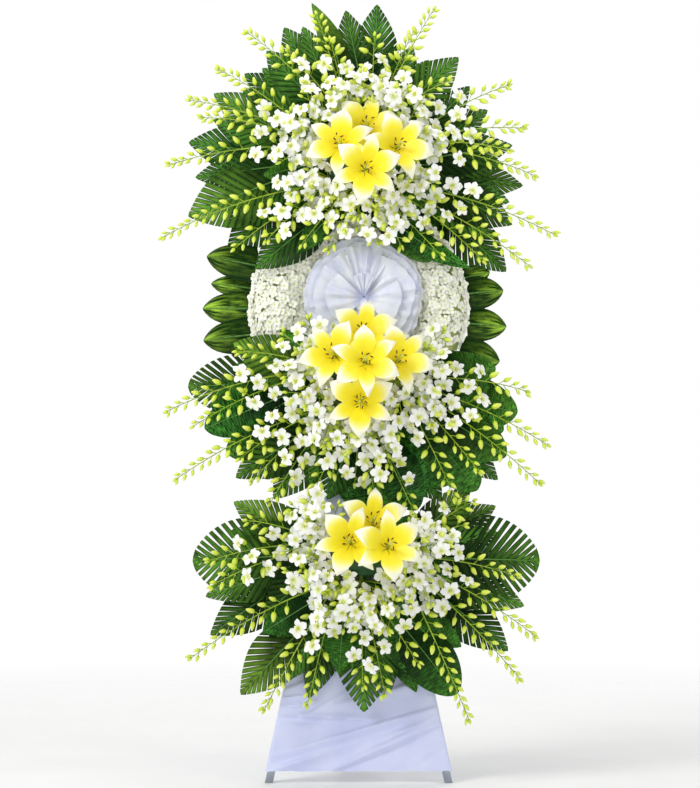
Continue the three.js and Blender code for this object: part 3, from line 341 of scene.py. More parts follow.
# Outline, blade length in mm, pairs of leaflets (none on a plain leaf), share of the slots, bow
LEAF_KINDS = {
    "palm": ("pointed", 235, 12, 0.16, 0),
    "fan": ("round", 250, 13, 0.38, 0),
    "fern": ("pointed", 200, 11, 0.12, 0),
    "broad": ("round", 210, 0, 0, 0),
    "strap": ("strap", 250, 0, 0, -28),
    "small": ("pointed", 150, 0, 0, 0),
    "glossy": ("spear", 150, 0, 0, 0),
    "short": ("pointed", 190, 0, 0, 0),
    "slotted": ("pointed", 250, 11, 0.36, 0),
}
# Bunches: the angle where the stems enter the brick, their depth there, and the leaves, each with
# the angle and reach of its tip, kind, width, and how far forward it lies, in degrees and mm
HEARTS = {"top": (5, 1590), "middle": (20, 1020), "bottom": (20, 575)}
LEAVES = {
    "top_leaves_upper_left": (125, -42, [
        (107, 430, "strap", 68, -72), (119, 408, "palm", 130, -26),
        (130, 378, "fern", 110, -52), (142, 382, "palm", 118, -24)]),
    "top_leaves_upper_right": (62, -42, [
        (84, 414, "palm", 122, -52), (66, 335, "fern", 110, -24), (47, 372, "palm", 132, -54)]),
    "top_leaves_left": (176, -42, [
        (155, 418, "palm", 118, -54), (173, 448, "palm", 135, -24),
        (198, 466, "palm", 160, -54), (214, 415, "palm", 130, -24)]),
    "top_leaves_right": (-6, -42, [
        (23, 358, "fern", 105, -22), (6, 394, "palm", 112, -54), (-8, 424, "palm", 112, -24),
        (-23, 424, "palm", 122, -54), (-37, 470, "palm", 132, -22)]),
    "top_leaves_lower": (272, -70, [
        (227, 395, "palm", 125, -112), (237, 300, "small", 62, -136),
        (-56, 322, "broad", 100, -102), (-46, 402, "strap", 60, -126)]),
    "middle_leaves_left": (178, -42, [
        (182, 456, "fan", 158, -62), (165, 352, "fern", 122, -106),
        (150, 255, "small", 90, -102), (197, 430, "broad", 118, -92)]),
    "middle_leaves_lower_left": (232, -42, [
        (207, 402, "broad", 112, -48), (217, 416, "palm", 130, -78), (232, 384, "palm", 132, -48)]),
    "middle_leaves_lower": (280, -42, [
        (252, 322, "fern", 120, -82), (269, 338, "broad", 168, -50),
        (-69, 356, "broad", 120, -82), (-58, 362, "fern", 112, -50)]),
    "middle_leaves_right": (-10, -42, [
        (5, 330, "broad", 122, -98), (-12, 394, "broad", 140, -64), (-29, 405, "broad", 118, -94),
        (-37, 420, "palm", 110, -42), (-45, 398, "broad", 128, -72)]),
    "bottom_leaves_left": (178, -42, [
        (158, 366, "palm", 120, -28), (182, 442, "fan", 205, -62), (207, 446, "palm", 125, -28)]),
    "bottom_leaves_lower_left": (236, -42, [
        (228, 476, "palm", 140, -60), (217, 330, "small", 95, -86),
        (248, 392, "palm", 104, -30), (257, 310, "small", 90, -88)]),
    "bottom_leaves_lower_right": (288, -42, [
        (269, 398, "slotted", 158, -60), (-70, 370, "small", 66, -30),
        (-57, 420, "broad", 132, -62), (-44, 335, "small", 90, -34)]),
    "bottom_leaves_right": (-4, -42, [
        (-34, 434, "palm", 125, -30), (-2, 440, "fan", 225, -66),
        (21, 354, "palm", 112, -28), (33, 318, "fern", 95, -58)]),
}
PAD_LEAVES = {
    "pad_leaves_left": (-1, [
        (161, 413, "glossy", 96, -40), (170, 386, "glossy", 60, -16),
        (180, 401, "glossy", 88, -30), (192, 407, "glossy", 94, -44)]),
    "pad_leaves_right": (1, [
        (16, 352, "glossy", 60, -20), (7, 375, "glossy", 88, -38),
        (-7, 383, "glossy", 90, -28), (-21, 387, "glossy", 92, -46)]),
}
PAD_CENTRE = Vector((0, 0, 1.210))
# Fresh yellow-green ones among the dark green: tier, angle
LIGHT_LEAVES = {
    ("top_leaves_upper_left", 107): 0.85, ("bottom_leaves_left", 158): 0.8,
    ("bottom_leaves_lower_left", 228): 0.95, ("bottom_leaves_right", 33): 0.85,
    ("middle_leaves_left", 165): 0.75, ("bottom_leaves_right", 21): 0.6,
    ("top_leaves_left", 198): 0.45, ("top_leaves_right", -8): 0.4,
}


def smoothstep(value, low, high):
    share = min(max((value - low) / (high - low), 0), 1)
    return share * share * (3 - 2 * share)


# Half width, half height and depth of a brick, and how far to the right of the mast it stands
BRICK_WIDE = 0.075
BRICK_HIGH = 0.055
BRICK_DEEP = 0.120
BRICK_X = 0.005


def polar(angle, reach):
    """A point in the plane of a tier, from its heart, for an angle in degrees and a reach in mm."""
    turn = math.radians(angle)
    return Vector((reach * math.cos(turn), 0, reach * math.sin(turn))) / 1000


def side_root(angle, depth, shift_x):
    """Where a bunch enters its brick, 12 mm outside, and the way in."""
    ray = Vector((math.cos(math.radians(angle)), 0, math.sin(math.radians(angle))))
    if abs(ray.x) * BRICK_HIGH > abs(ray.z) * BRICK_WIDE:
        reach = BRICK_WIDE / abs(ray.x)
        inward = Vector((-math.copysign(1, ray.x), 0, 0))
    else:
        reach = BRICK_HIGH / abs(ray.z)
        inward = Vector((0, 0, -math.copysign(1, ray.z)))
    root = ray * reach - inward * 0.012
    return Vector((root.x + shift_x, depth, root.z)), inward


class LeafPath:
    """Carries points of a flat leaf, in metres along and across it, to where the leaf lies."""

    def __init__(self, root, tip, depth, blade, bow, backmost):
        arm = Vector((tip.x - root.x, tip.z - root.z))
        self.root, self.depth, self.bow, self.backmost = root, depth, bow, backmost
        self.length = arm.length
        self.heading = arm.normalized()
        self.side = Vector((-self.heading.y, self.heading.x))
        self.blade_start = max(self.length - blade, 0.012)
        self.span = self.length - self.blade_start

    def at(self, s, t, lift):
        out = smoothstep(s, 0, self.blade_start)
        u = min(max((s - self.blade_start) / self.span, 0), 1)
        across = t + self.bow * 4 * (s / self.length) * (1 - s / self.length)
        y = self.root.y + (self.depth - self.root.y) * out - 0.006 * math.sin(math.pi * u)
        y += 0.05 * t * out + 0.1 * abs(t) - lift
        flat = self.heading * s + self.side * across
        return Vector((self.root.x + flat.x, min(y, self.backmost), self.root.z + flat.y))


LEAFLETS_END = 0.95
TIP_START = 0.93


def leaflet_reach(start, slope, width):
    """How far from the rib a leaflet meets the outline, found by halving."""
    near, far = 0.0, 1.0
    for _ in range(18):
        middle = (near + far) / 2
        inside = start + slope * middle < 0.998 and middle < width(min(start + slope * middle, 0.998))
        near, far = (middle, far) if inside else (near, middle)
    return near


def frond_blade(outline, leaflets, slots):
    """Leaflets in pairs along a rib from u = 0 to 1, cut square along the outline; v is in half widths."""
    width = OUTLINES[outline]
    strips = []
    for side in (1, -1):
        for i in range(leaflets):
            low, high = LEAFLETS_END * i / leaflets, LEAFLETS_END * (i + 1) / leaflets
            strip = grid(4, 2)
            for vertex in strip.data.vertices:
                out, across = (vertex.co.x + 1) / 2, vertex.co.y
                narrow = 1 - slots * smoothstep(out, 0.15, 1.0) - 0.03 * out
                start = (low + high) / 2 + (high - low) / 2 * across * narrow
                slope = 0.24 + 0.44 * start ** 2
                v = leaflet_reach(start, slope, width) * out
                ridge = 0.0030 * (1 - abs(across)) * (0.3 + 0.7 * out)
                vertex.co = (start + slope * v, side * v, ridge)
            strips.append(strip)
    tip = grid(4, 2)
    for vertex in tip.data.vertices:
        out, across = (vertex.co.x + 1) / 2, vertex.co.y
        u = TIP_START + 0.07 * out
        half = width(min(u, 0.9995)) * smoothstep(out, 0, 0.5) + 0.03 * (1 - out)
        vertex.co = (u, across * half, 0.0014)
    return join("flat_frond_" + outline, strips + [tip])


def plain_blade(outline, columns, rows):
    """One sheet, pleated a little along its side veins."""
    width = OUTLINES[outline]
    blade = grid(columns, rows)
    for vertex in blade.data.vertices:
        u, v = (vertex.co.x + 1) / 2, vertex.co.y
        vein = math.sin((u * 10 - abs(v) * 2.6) * 2 * math.pi) * 0.0013 * min(abs(v) * 3, 1)
        wave = 0.0022 * math.sin(u * 11 + (2 if v > 0 else 0)) * abs(v) ** 2
        vertex.co = (u, v * width(min(max(u, 0.001), 0.999)), vein + wave)
    blade.name = "flat_leaf_" + outline
    return blade


flat_leaves = {}
for kind, (outline, _, leaflets, slots, _) in LEAF_KINDS.items():
    if leaflets:
        flat_leaves[kind] = frond_blade(outline, leaflets, slots)
    else:
        flat_leaves[kind] = plain_blade(outline, *((12, 6) if kind == "short" else (44, 12)))


def stems(name, paths, material, roundness=1):
    """Round stems along lists of (point, radius), as one bevelled curve made a mesh."""
    curve = bpy.data.curves.new(name, "CURVE")
    curve.dimensions = "3D"
    curve.bevel_depth = 1.0
    curve.bevel_resolution = roundness
    curve.use_fill_caps = True
    for path in paths:
        spline = curve.splines.new("POLY")
        spline.points.add(len(path) - 1)
        for point, (spot, radius) in zip(spline.points, path):
            point.co = (*spot, 1)
            point.radius = radius
    piece = bpy.data.objects.new(name, curve)
    bpy.context.scene.collection.objects.link(piece)
    only(piece)
    bpy.ops.object.convert(target="MESH")
    piece = bpy.context.object
    piece.data.materials.append(material)
    return piece


def copy_to(template, matrix):
    copy = bpy.data.objects.new(template.name, template.data.copy())
    bpy.context.scene.collection.objects.link(copy)
    copy.data.transform(matrix)
    return copy


def set_values(piece, name, values):
    layer = piece.data.attributes.new(name, "FLOAT", "POINT")
    layer.data.foreach_set("value", values)


# Living leaf: waxy skin over green. Fronds are striped along each leaflet and plain leaves across, from
# rib to edge. The attribute tint takes a leaf from dark to fresh green, and a second attribute paints
# shade on it, darker towards its stem.
def leaf_material(name, dark, fresh, stripe, stripes_along, roughness, streaks=8):
    material = new_material(name)
    uv = add_node(material, "UVMap", uv_map="UVMap")
    tint = add_node(material, "Attribute", attribute_name="tint")
    stem_shade = add_node(material, "Attribute", attribute_name="stem_shade")
    scale = (0.5, streaks, 1) if stripes_along else (26, 1.5, 1)
    run = add_node(material, "Mapping", {"Vector": uv, "Scale": scale})
    fibres = add_node(material, "TexNoise", {"Vector": run, "Scale": 3.2, "Detail": 4.0, "Roughness": 0.6})
    dark_tone = add_node(material, "ValToRGB", {"Fac": fibres}, [(0.42, dark), (0.61, stripe)])
    fresh_tone = add_node(material, "ValToRGB", {"Fac": fibres}, [(0.3, fresh), (0.75, "#A9CC4A")])
    tone = add_node(material, "Mix", {"Factor": tint, "A": dark_tone, "B": fresh_tone}, data_type="RGBA")
    spots = add_node(material, "TexNoise", {
        "Vector": add_node(material, "TexCoord"), "Scale": 26.0, "Detail": 3.0})
    mottle = add_node(material, "MapRange", {
        "Value": spots, "From Min": 0.4, "From Max": 0.7, "To Max": 0.6})
    # Painted shade: the leaf darkens towards its stem
    deep = add_node(material, "MapRange", {
        "Value": stem_shade, "From Min": 0.15, "From Max": 0.90, "To Max": 0.88})
    # Painted shade: each leaflet darkens towards its own edges, where it dips between its neighbours
    across = add_node(material, "SeparateXYZ", {"Vector": uv}).outputs["Y"]
    off_middle = add_node(material, "Math", {0: across, 1: 0.5}, operation="SUBTRACT")
    off_middle = add_node(material, "Math", {0: off_middle}, operation="ABSOLUTE")
    deepest = 0.75 if stripes_along else 0.0
    edge_shade = add_node(material, "MapRange", {
        "Value": off_middle, "From Min": 0.18, "From Max": 0.5, "To Max": deepest})
    # The last two of these mixes are painted shade, towards the stem and towards each leaflet's edges
    for share in (mottle, deep, edge_shade):
        tone = add_node(material, "Mix", {"Factor": share, "A": tone, "B": linear(dark)}, data_type="RGBA")
    return finish_material(material, tone, roughness, (fibres, 0.25, 0.0008), {"Specular IOR Level": 0.09})


# Skin of a rib or stem: smooth and waxy, with small paler flecks
def flecked_material(name, scale, dark, light, roughness, more=None):
    material = new_material(name)
    place = add_node(material, "TexCoord")
    flecks = add_node(material, "TexNoise", {"Vector": place, "Scale": scale, "Detail": 3.0})
    colour = add_node(material, "ValToRGB", {"Fac": flecks}, [(0.35, dark), (0.7, light)])
    return finish_material(material, colour, roughness, None, more)


frond_skin = leaf_material("Waxy palm frond", "#041D07", "#5C9E26", "#6CC042", True, 0.34)
leaf_skin = leaf_material("Glossy broad leaf", "#041C07", "#4E9826", "#56B440", False, 0.22)
bright_skin = leaf_material("Streaked side leaf", "#062A0A", "#5C9E2A", "#B8E84A", True, 0.26, 3)
rib_skin = flecked_material("Pale leaf rib", 120.0, "#3C7A2A", "#6FA044", 0.4)


def lay_leaf(node, root, angle, reach, kind, width, depth, draw):
    _, blade, leaflets, _, bow = LEAF_KINDS[kind]
    # No leaf reaches back into the mast, or into the cloth behind the bottom tier
    backmost = -0.0185 if node.startswith("bottom") else -0.0125
    path = LeafPath(root, polar(angle, reach), depth / 1000, blade / 1000, bow / 1000, backmost)
    leaf = copy_to(flat_leaves[kind], Matrix())
    droop = draw.uniform(0.002, 0.006)
    twist = draw.uniform(-0.03, 0.03)
    # Painted shade, darker towards the stem; on some leaves it reaches further out than on others
    shade = draw.uniform(-0.20, 0.35)
    set_values(leaf, "stem_shade", [1 - vertex.co.x + shade for vertex in leaf.data.vertices])
    for vertex in leaf.data.vertices:
        u, v, lift = vertex.co
        t = v * width / 2000
        vertex.co = path.at(path.blade_start + path.span * u, t, lift + (twist * t - droop * v * v))
    leaf.data.materials.append(frond_skin if leaflets else bright_skin if kind == "glossy" else leaf_skin)
    tint = draw.uniform(0.0, 0.14 if kind == "glossy" else 0.32)
    tint = LIGHT_LEAVES.get((node, angle), tint)
    set_values(leaf, "tint", [tint] * len(leaf.data.vertices))
    # The rib thins out along the blade, and the stalk below it is straight inside the binding
    rib_path = []
    for k in range(18):
        s = -0.020 + (path.length + 0.012) * k / 18
        inside = path.at(max(s, 0), 0, 0.0006)
        if s < 0:
            inside = root + Vector((path.heading.x, 0, path.heading.y)) * s
        rib_path.append((inside, 0.0030 - 0.0024 * k / 18))
    rib_path.append((path.at(path.blade_start + path.span * 0.985, 0, 0.0006), 0.0030 - 0.0024))
    rib = stems(kind + "_rib", [rib_path], rib_skin)
    set_values(rib, "tint", [0.5] * len(rib.data.vertices))
    return leaf, rib


def lay_bunch(node, name, rooted_leaves, centre, draw, binding=None):
    """One piece from leaves given with their roots, and the binding round their stems where they have one."""
    laid = [lay_leaf(node, root, *leaf, draw) for root, leaf in rooted_leaves]
    ribs = [rib for _, rib in laid]
    if binding:
        ribs.append(stems("binding", [binding], rib_skin))
        set_values(ribs[-1], "tint", [0.2] * len(ribs[-1].data.vertices))
    bunch = join(name, [leaf for leaf, _ in laid])
    modify(bunch, "SOLIDIFY", thickness=0.0008, offset=0)
    bunch = join(name, [bunch, *ribs])
    bunch.data.transform(LEANT @ Matrix.Translation(centre))
    smooth_by_angle(bunch, 50)
    part_for(bunch, "frond", node)


def tier_heart(node):
    x, z = HEARTS[node.split("_")[0]]
    return Vector((x / 1000, 0, z / 1000))


# More leaves of the same kinds half way between each two neighbours, a little shorter and behind them
BETWEEN = {}
for tier, (first, last) in {"top": (-40, 216), "middle": (148, 370), "bottom": (150, 395)}.items():
    around = sorted(
        ((leaf[0] - first) % 360 + first, node, leaf)
        for node, (_, _, leaves) in LEAVES.items() if node.startswith(tier)
        for leaf in leaves if (leaf[0] - first) % 360 + first <= last)
    for (a, node, leaf), (b, _, following) in zip(around, around[1:]):
        kind = "broad" if "broad" in (leaf[2], following[2]) else "palm"
        reach = 0.91 * min(leaf[1], following[1]) + 0.8 * abs(b - a)
        depth = min(leaf[4], following[4], -36 if tier == "bottom" else -28) + 8
        BETWEEN.setdefault(node, []).append(((a + b) / 2, reach, kind, 112, depth))

draw = random.Random(11)
for node, (angle, root_depth, leaves) in LEAVES.items():
    heart = tier_heart(node)
    root, inward = side_root(angle, root_depth / 1000, BRICK_X - heart.x)
    wanted = leaves + BETWEEN.get(node, [])
    # Short dark leaves behind them, which close the gaps towards the foam
    for leaf_angle, reach, _, _, depth in leaves:
        for step, share in ((-8, 0.68), (7, 0.52)):
            behind = min(depth + 9, -28 if node.startswith("bottom") else -19)
            wanted.append((leaf_angle + step, reach * share, "short", 98, behind))
    # The stems are bound in tape where they go into the foam
    binding = [(root - inward * 0.004, 0.0042), (root + inward * 0.036, 0.0045)]
    lay_bunch(node, node.replace("leaves", "fronds"), [(root, leaf) for leaf in wanted], heart, draw, binding)

for node, (side, leaves) in PAD_LEAVES.items():
    rooted = []
    for leaf in leaves:
        z = polar(leaf[0], leaf[1]).z * 0.8
        rooted.append((Vector((side * math.sqrt(0.270 ** 2 - z ** 2), -0.0264, z)), leaf))
    lay_bunch(node, node.replace("leaves", "glossy_leaves"), rooted, PAD_CENTRE, draw)
for flat_leaf in flat_leaves.values():
    bpy.data.objects.remove(flat_leaf)


# Board of light foam board behind the florets, and the dome of florets pinned into it. Each floret
# is a hydrangea-like flower of four round petals, 24 mm across, with a green heart.
PAD_INNER = 0.108
PAD_RADIUS = 0.281
PAD_CREST = 0.205
# No florets below these heights, where the leaves of the middle tier cover the pad
FACE_END = -0.098
RIM_END = -0.105
FLORET_SPACING = 0.0132
RIM_FLORETS = 230
GOLDEN_ANGLE = 2.399963
FULL_TURN = 6.28

foam_board = new_material("Matt white foam board")
place = add_node(foam_board, "TexCoord")
fibre = add_node(foam_board, "TexNoise", {"Vector": place, "Scale": 300.0, "Detail": 3.0})
stain = add_node(foam_board, "TexNoise", {"Vector": place, "Scale": 8.0, "Detail": 4.0})
colour = add_node(foam_board, "ValToRGB", {"Fac": stain}, [(0.35, "#D9DCD2"), (0.65, "#EDEEE8")])
finish_material(foam_board, colour, 0.75, (fibre, 0.12, 0.0004))
board = rounded_copy("pad_board", "foam_backing_board", foam_board, 0.0015)
smooth_by_angle(board, 35)
part_for(board, "board", "pad_board")


def petal_material(name, stops, veins, roughness, subsurface):
    """White or coloured petal: UV x runs from its base to its tip, UV y across it."""
    material = new_material(name)
    uv = add_node(material, "UVMap", uv_map="UVMap")
    place = add_node(material, "TexCoord")
    blotch = add_node(material, "TexNoise", {"Vector": place, "Scale": 90.0, "Detail": 2.0})
    wander = add_node(material, "Math", {0: blotch, 1: 0.35}, operation="MULTIPLY")
    along = add_node(material, "SeparateXYZ", {"Vector": uv}).outputs["X"]
    along = add_node(material, "Math", {0: along, 1: wander}, operation="ADD")
    run = add_node(material, "Mapping", {"Vector": uv, "Scale": (1, veins, 1)})
    vein = add_node(material, "TexNoise", {"Vector": run, "Scale": 2.5, "Detail": 2.0})
    colour = add_node(material, "ValToRGB", {"Fac": along}, stops)
    return finish_material(material, colour, roughness, (vein, 0.15, 0.0006), {
        "Subsurface Weight": subsurface, "Subsurface Radius": (0.006, 0.006, 0.004)})


def petal(length, width, start, cup, curl, columns=4):
    """One petal from the middle outwards along +x, its face up; the flat grid is pulled to shape."""
    blade = grid(columns, 2)
    for vertex in blade.data.vertices:
        out, across = (vertex.co.x + 1) / 2, vertex.co.y
        half = width / 2 * math.sin(math.pi * (0.05 + 0.80 * out ** 1.3)) ** 0.9
        x = start + (length - start) * (out - 0.13 * across * across * out ** 4)
        z = cup * abs(across) ** 2 * math.sin(math.pi * out) + curl * (out - 1.35 * out * out)
        vertex.co = (x, across * half, z)
    return blade


def ring_of(petals, turns, tilt):
    """Copies of petals round the z axis, each turned and tilted up or down at its base."""
    tilted = Matrix.Rotation(math.radians(-tilt), 4, "Y")
    return [copy_to(blade, Matrix.Rotation(math.radians(turn), 4, "Z") @ tilted)
            for blade, turn in zip(petals, turns)]


def cone(base, top, depth, height, end, material):
    """A small five-sided cone on the z axis, for the heart of a flower."""
    bpy.ops.mesh.primitive_cone_add(
        vertices=5, radius1=base, radius2=top, depth=depth, location=(0, 0, height), end_fill_type=end)
    bpy.ops.object.transform_apply(location=True)
    bpy.context.object.data.materials.append(material)
    return bpy.context.object


floret_petal_skin = petal_material(
    "White floret petal", [(0.10, "#A9C244"), (0.30, "#EDF1C8"), (0.55, "#FAFBEE")], 6, 0.5, 0.15)
floret_heart_skin = petal_material(
    "Green floret heart", [(0.1, "#A9BC48"), (0.5, "#D3DC74"), (0.9, "#E3E89A")], 3, 0.5, 0.1)
blade = petal(0.0118, 0.0108, 0.0009, 0.0016, 0.0018)
floret = join("floret", ring_of([blade] * 4, [0, 90, 180, 270], 14))
floret.data.materials.append(floret_petal_skin)
floret = join("floret", [floret, cone(0.0019, 0, 0.003, 0.0009, "NOTHING", floret_heart_skin)])
bpy.data.objects.remove(blade)


def pad_face(radius):
    swell = math.exp(-(((radius - PAD_CREST) / 0.062) ** 2))
    rim = smoothstep(radius, PAD_RADIUS - 0.034, PAD_RADIUS)
    return -0.0428 - 0.018 - 0.024 * swell * (1 - rim) + 0.010 * rim


def face_towards(normal, roll):
    turn = Vector((0, 0, 1)).rotation_difference(normal).to_matrix().to_4x4()
    return turn @ Matrix.Rotation(roll, 4, "Z")


draw = random.Random(23)
florets = []
count = int(math.pi * (PAD_RADIUS ** 2 - PAD_INNER ** 2) / FLORET_SPACING ** 2)
for k in range(count):
    radius = math.sqrt(PAD_INNER ** 2 + (k + 0.5) * FLORET_SPACING ** 2 / math.pi) - 0.002
    turn = k * GOLDEN_ANGLE + draw.uniform(-0.04, 0.04)
    x, z = radius * math.cos(turn), radius * math.sin(turn)
    if z < FACE_END:
        continue
    slope = (pad_face(radius + 0.004) - pad_face(radius - 0.004)) / 0.008
    normal = Vector((slope * math.cos(turn) * 1.2, -1, slope * math.sin(turn) * 1.2))
    normal += Vector((draw.uniform(-0.45, 0.45), 0, draw.uniform(-0.45, 0.45)))
    y = pad_face(radius) - 0.0035 + draw.uniform(-0.004, 0.003)
    size = Matrix.Scale(draw.uniform(0.92, 1.16), 4)
    facing = face_towards(normal.normalized(), draw.uniform(0, FULL_TURN))
    florets.append(copy_to(floret, Matrix.Translation((x, y, z)) @ facing @ size))
# A row round the edge, turned outwards
for k in range(RIM_FLORETS):
    turn = 2 * math.pi * k / RIM_FLORETS + draw.uniform(-0.01, 0.01)
    row = draw.uniform(0, 1)
    out = Vector((math.cos(turn), 0, math.sin(turn)))
    if out.z * PAD_RADIUS < RIM_END:
        continue
    normal = out + Vector((0, -0.9 + 0.7 * row, draw.uniform(-0.2, 0.2)))
    facing = face_towards(normal.normalized(), draw.uniform(0, FULL_TURN))
    spot = out * (PAD_RADIUS - 0.006 + 0.003 * row + draw.uniform(-0.004, 0.002))
    spot += Vector((0, -0.062 + 0.016 * row, 0))
    florets.append(copy_to(floret, Matrix.Translation(spot) @ facing))
flowers = join("white_florets", florets)
flowers.data.transform(LEANT @ Matrix.Translation(PAD_CENTRE))
smooth_by_angle(flowers, 60)
bpy.data.objects.remove(floret)

# Pale calyxes and stems close the gaps below the petals
floret_bed = own_copy_of_node("floret_cushion", "floret_bed")
floret_bed.data.materials.append(petal_material(
    "Pale floret calyx", [(0.2, "#D3E08C"), (0.5, "#E2EAB4"), (0.9, "#EEF2D4")], 3, 0.6, 0.0))
for vertex in floret_bed.data.vertices:
    spot = LEANT.inverted() @ vertex.co - PAD_CENTRE
    if spot.y < -0.05:
        spot.y += 0.010
    spot.x *= 0.975
    spot.z *= 0.975 if spot.z > -0.09 else 1.0
    vertex.co = LEANT @ (spot + PAD_CENTRE)
smooth_by_angle(floret_bed, 30)
part_for(floret_bed, "floret", "floret_cushion")
part_for(flowers, "floret", "floret_cushion")


# Rosette of stiff white tulle on the middle of the pad. Two pleated rounds lie behind; in front, fans,
# side lobes and two small loops are gathered at one point. Each layer is a strip pulled together
# along one edge.
ROSETTE_CENTRE = Vector((0.013, -0.096, 1.229))
# Name, radius, from and to degrees, depth at the gather and rim, pleats, pleat depth (mm), seed
TULLE_LAYERS = [
    ("back_round", 152, -90, 270, -1, -6, 23, 5.0, 1),
    ("middle_round", 141, -90, 270, -3, -13, 19, 6.0, 2),
    ("left_fan", 128, 112, 266, -5, -24, 9, 7.0, 3),
    ("right_fan", 128, -86, 68, -5, -25, 9, 7.0, 4),
    ("top_fan", 130, 46, 134, -4, -22, 6, 13.0, 5),
    ("left_lobe", 96, 138, 232, -7, -36, 4, 6.0, 6),
    ("right_lobe", 96, -52, 42, -7, -36, 4, 6.0, 7),
    ("upper_loop", 58, 60, 122, -22, -42, 3, 6.0, 8),
    ("lower_loop", 40, 236, 300, -24, -40, 3, 5.0, 9),
]

tulle = new_material("Stiff white tulle")
place = add_node(tulle, "TexCoord")
# Net of 1 mm mesh, drawn at 1.6 mm so that it shows
net = add_node(tulle, "TexVoronoi", {"Vector": place, "Scale": 620.0}, feature="DISTANCE_TO_EDGE")
out = add_node(tulle, "SeparateXYZ", {"Vector": add_node(tulle, "UVMap", uv_map="UVMap")}).outputs["Y"]
# Many folds lie over one another near the gather, and only one or two at the rim
thick = add_node(tulle, "MapRange", {
    "Value": out, "From Min": 0.55, "From Max": 1.0, "To Min": 0.93, "To Max": 0.66})
# Painted shade: it turns a deeper lavender where it is pulled together
deep = add_node(tulle, "MapRange", {
    "Value": out, "From Min": 0.02, "From Max": 0.40, "To Min": 0.7, "To Max": 0.0})
folds = add_node(tulle, "TexNoise", {"Vector": place, "Scale": 30.0, "Detail": 3.0})
colour = add_node(tulle, "ValToRGB", {"Fac": folds}, [(0.3, "#E4E9FF"), (0.7, "#F8FAFF")])
colour = add_node(tulle, "Mix", {"Factor": deep, "A": colour, "B": linear("#A3AAE0")}, data_type="RGBA")
finish_material(tulle, colour, 0.55, (net, 0.25, 0.0005), {"Sheen Weight": 0.4, "Alpha": thick})

for name, radius, start, end, gather, rim, pleats, deep, seed in TULLE_LAYERS:
    closed = end - start == 360
    draw = random.Random(seed)
    sway, waver, _, swell = [draw.uniform(0, FULL_TURN) for _ in range(4)]
    layer = grid(pleats * 6, 12)
    layer.name = "tulle_" + name
    for vertex in layer.data.vertices:
        share, out = (vertex.co.x + 1) / 2, (vertex.co.y + 1) / 2
        turn = math.radians(start + (end - start) * share)
        beat = 2 * math.pi * pleats * share
        if not closed:
            beat += 1.5 * math.sin(turn * 3 + sway) * math.sin(math.pi * share)
        around = Vector((math.cos(turn), math.sin(turn), seed))
        beat += 2.2 * noise.noise(around * 3.1)
        tall = 0.75 + 1.1 * noise.noise(around * 2.3 + Vector((0, 0, 7)))
        pleat = (math.sin(beat) + 0.3 * math.sin(2.3 * beat + 4 * out)) * tall
        pleat += 1.6 * noise.noise(around * 1.7 + Vector((0, 0, 11 + 2 * out)))
        scallop = 0.010 * math.cos(beat) + 0.05 * noise.noise(around * 2.0 + Vector((0, 0, 3)))
        scallop += 0.02 * math.sin(5 * turn + waver)
        reach = radius * (0.03 + 0.97 * out) * (1 + scallop * out ** 3)
        if not closed:
            reach *= 1 - 0.10 * (1 - math.sin(math.pi * share)) ** 2
        depth = gather + (rim - gather) * math.sin(out * math.pi * 0.5) ** 1.2
        depth += pleat * deep * min(out * 1.6, 1) * 0.5 * (1 + 0.5 * math.sin(2 * turn + swell))
        vertex.co = Vector((reach * math.cos(turn), min(depth, 0.5), reach * math.sin(turn))) / 1000
    if closed:
        only(layer)
        bpy.ops.object.mode_set(mode="EDIT")
        bpy.ops.mesh.select_all(action="SELECT")
        bpy.ops.mesh.remove_doubles(threshold=0.00005)
        bpy.ops.object.mode_set(mode="OBJECT")
    layer.data.transform(LEANT @ Matrix.Translation(ROSETTE_CENTRE))
    layer.data.materials.append(tulle)
    modify(layer, "SOLIDIFY", thickness=0.0003, offset=0)
    smooth_by_angle(layer, 40)
    part_for(layer, "tulle", "tulle_rosette")


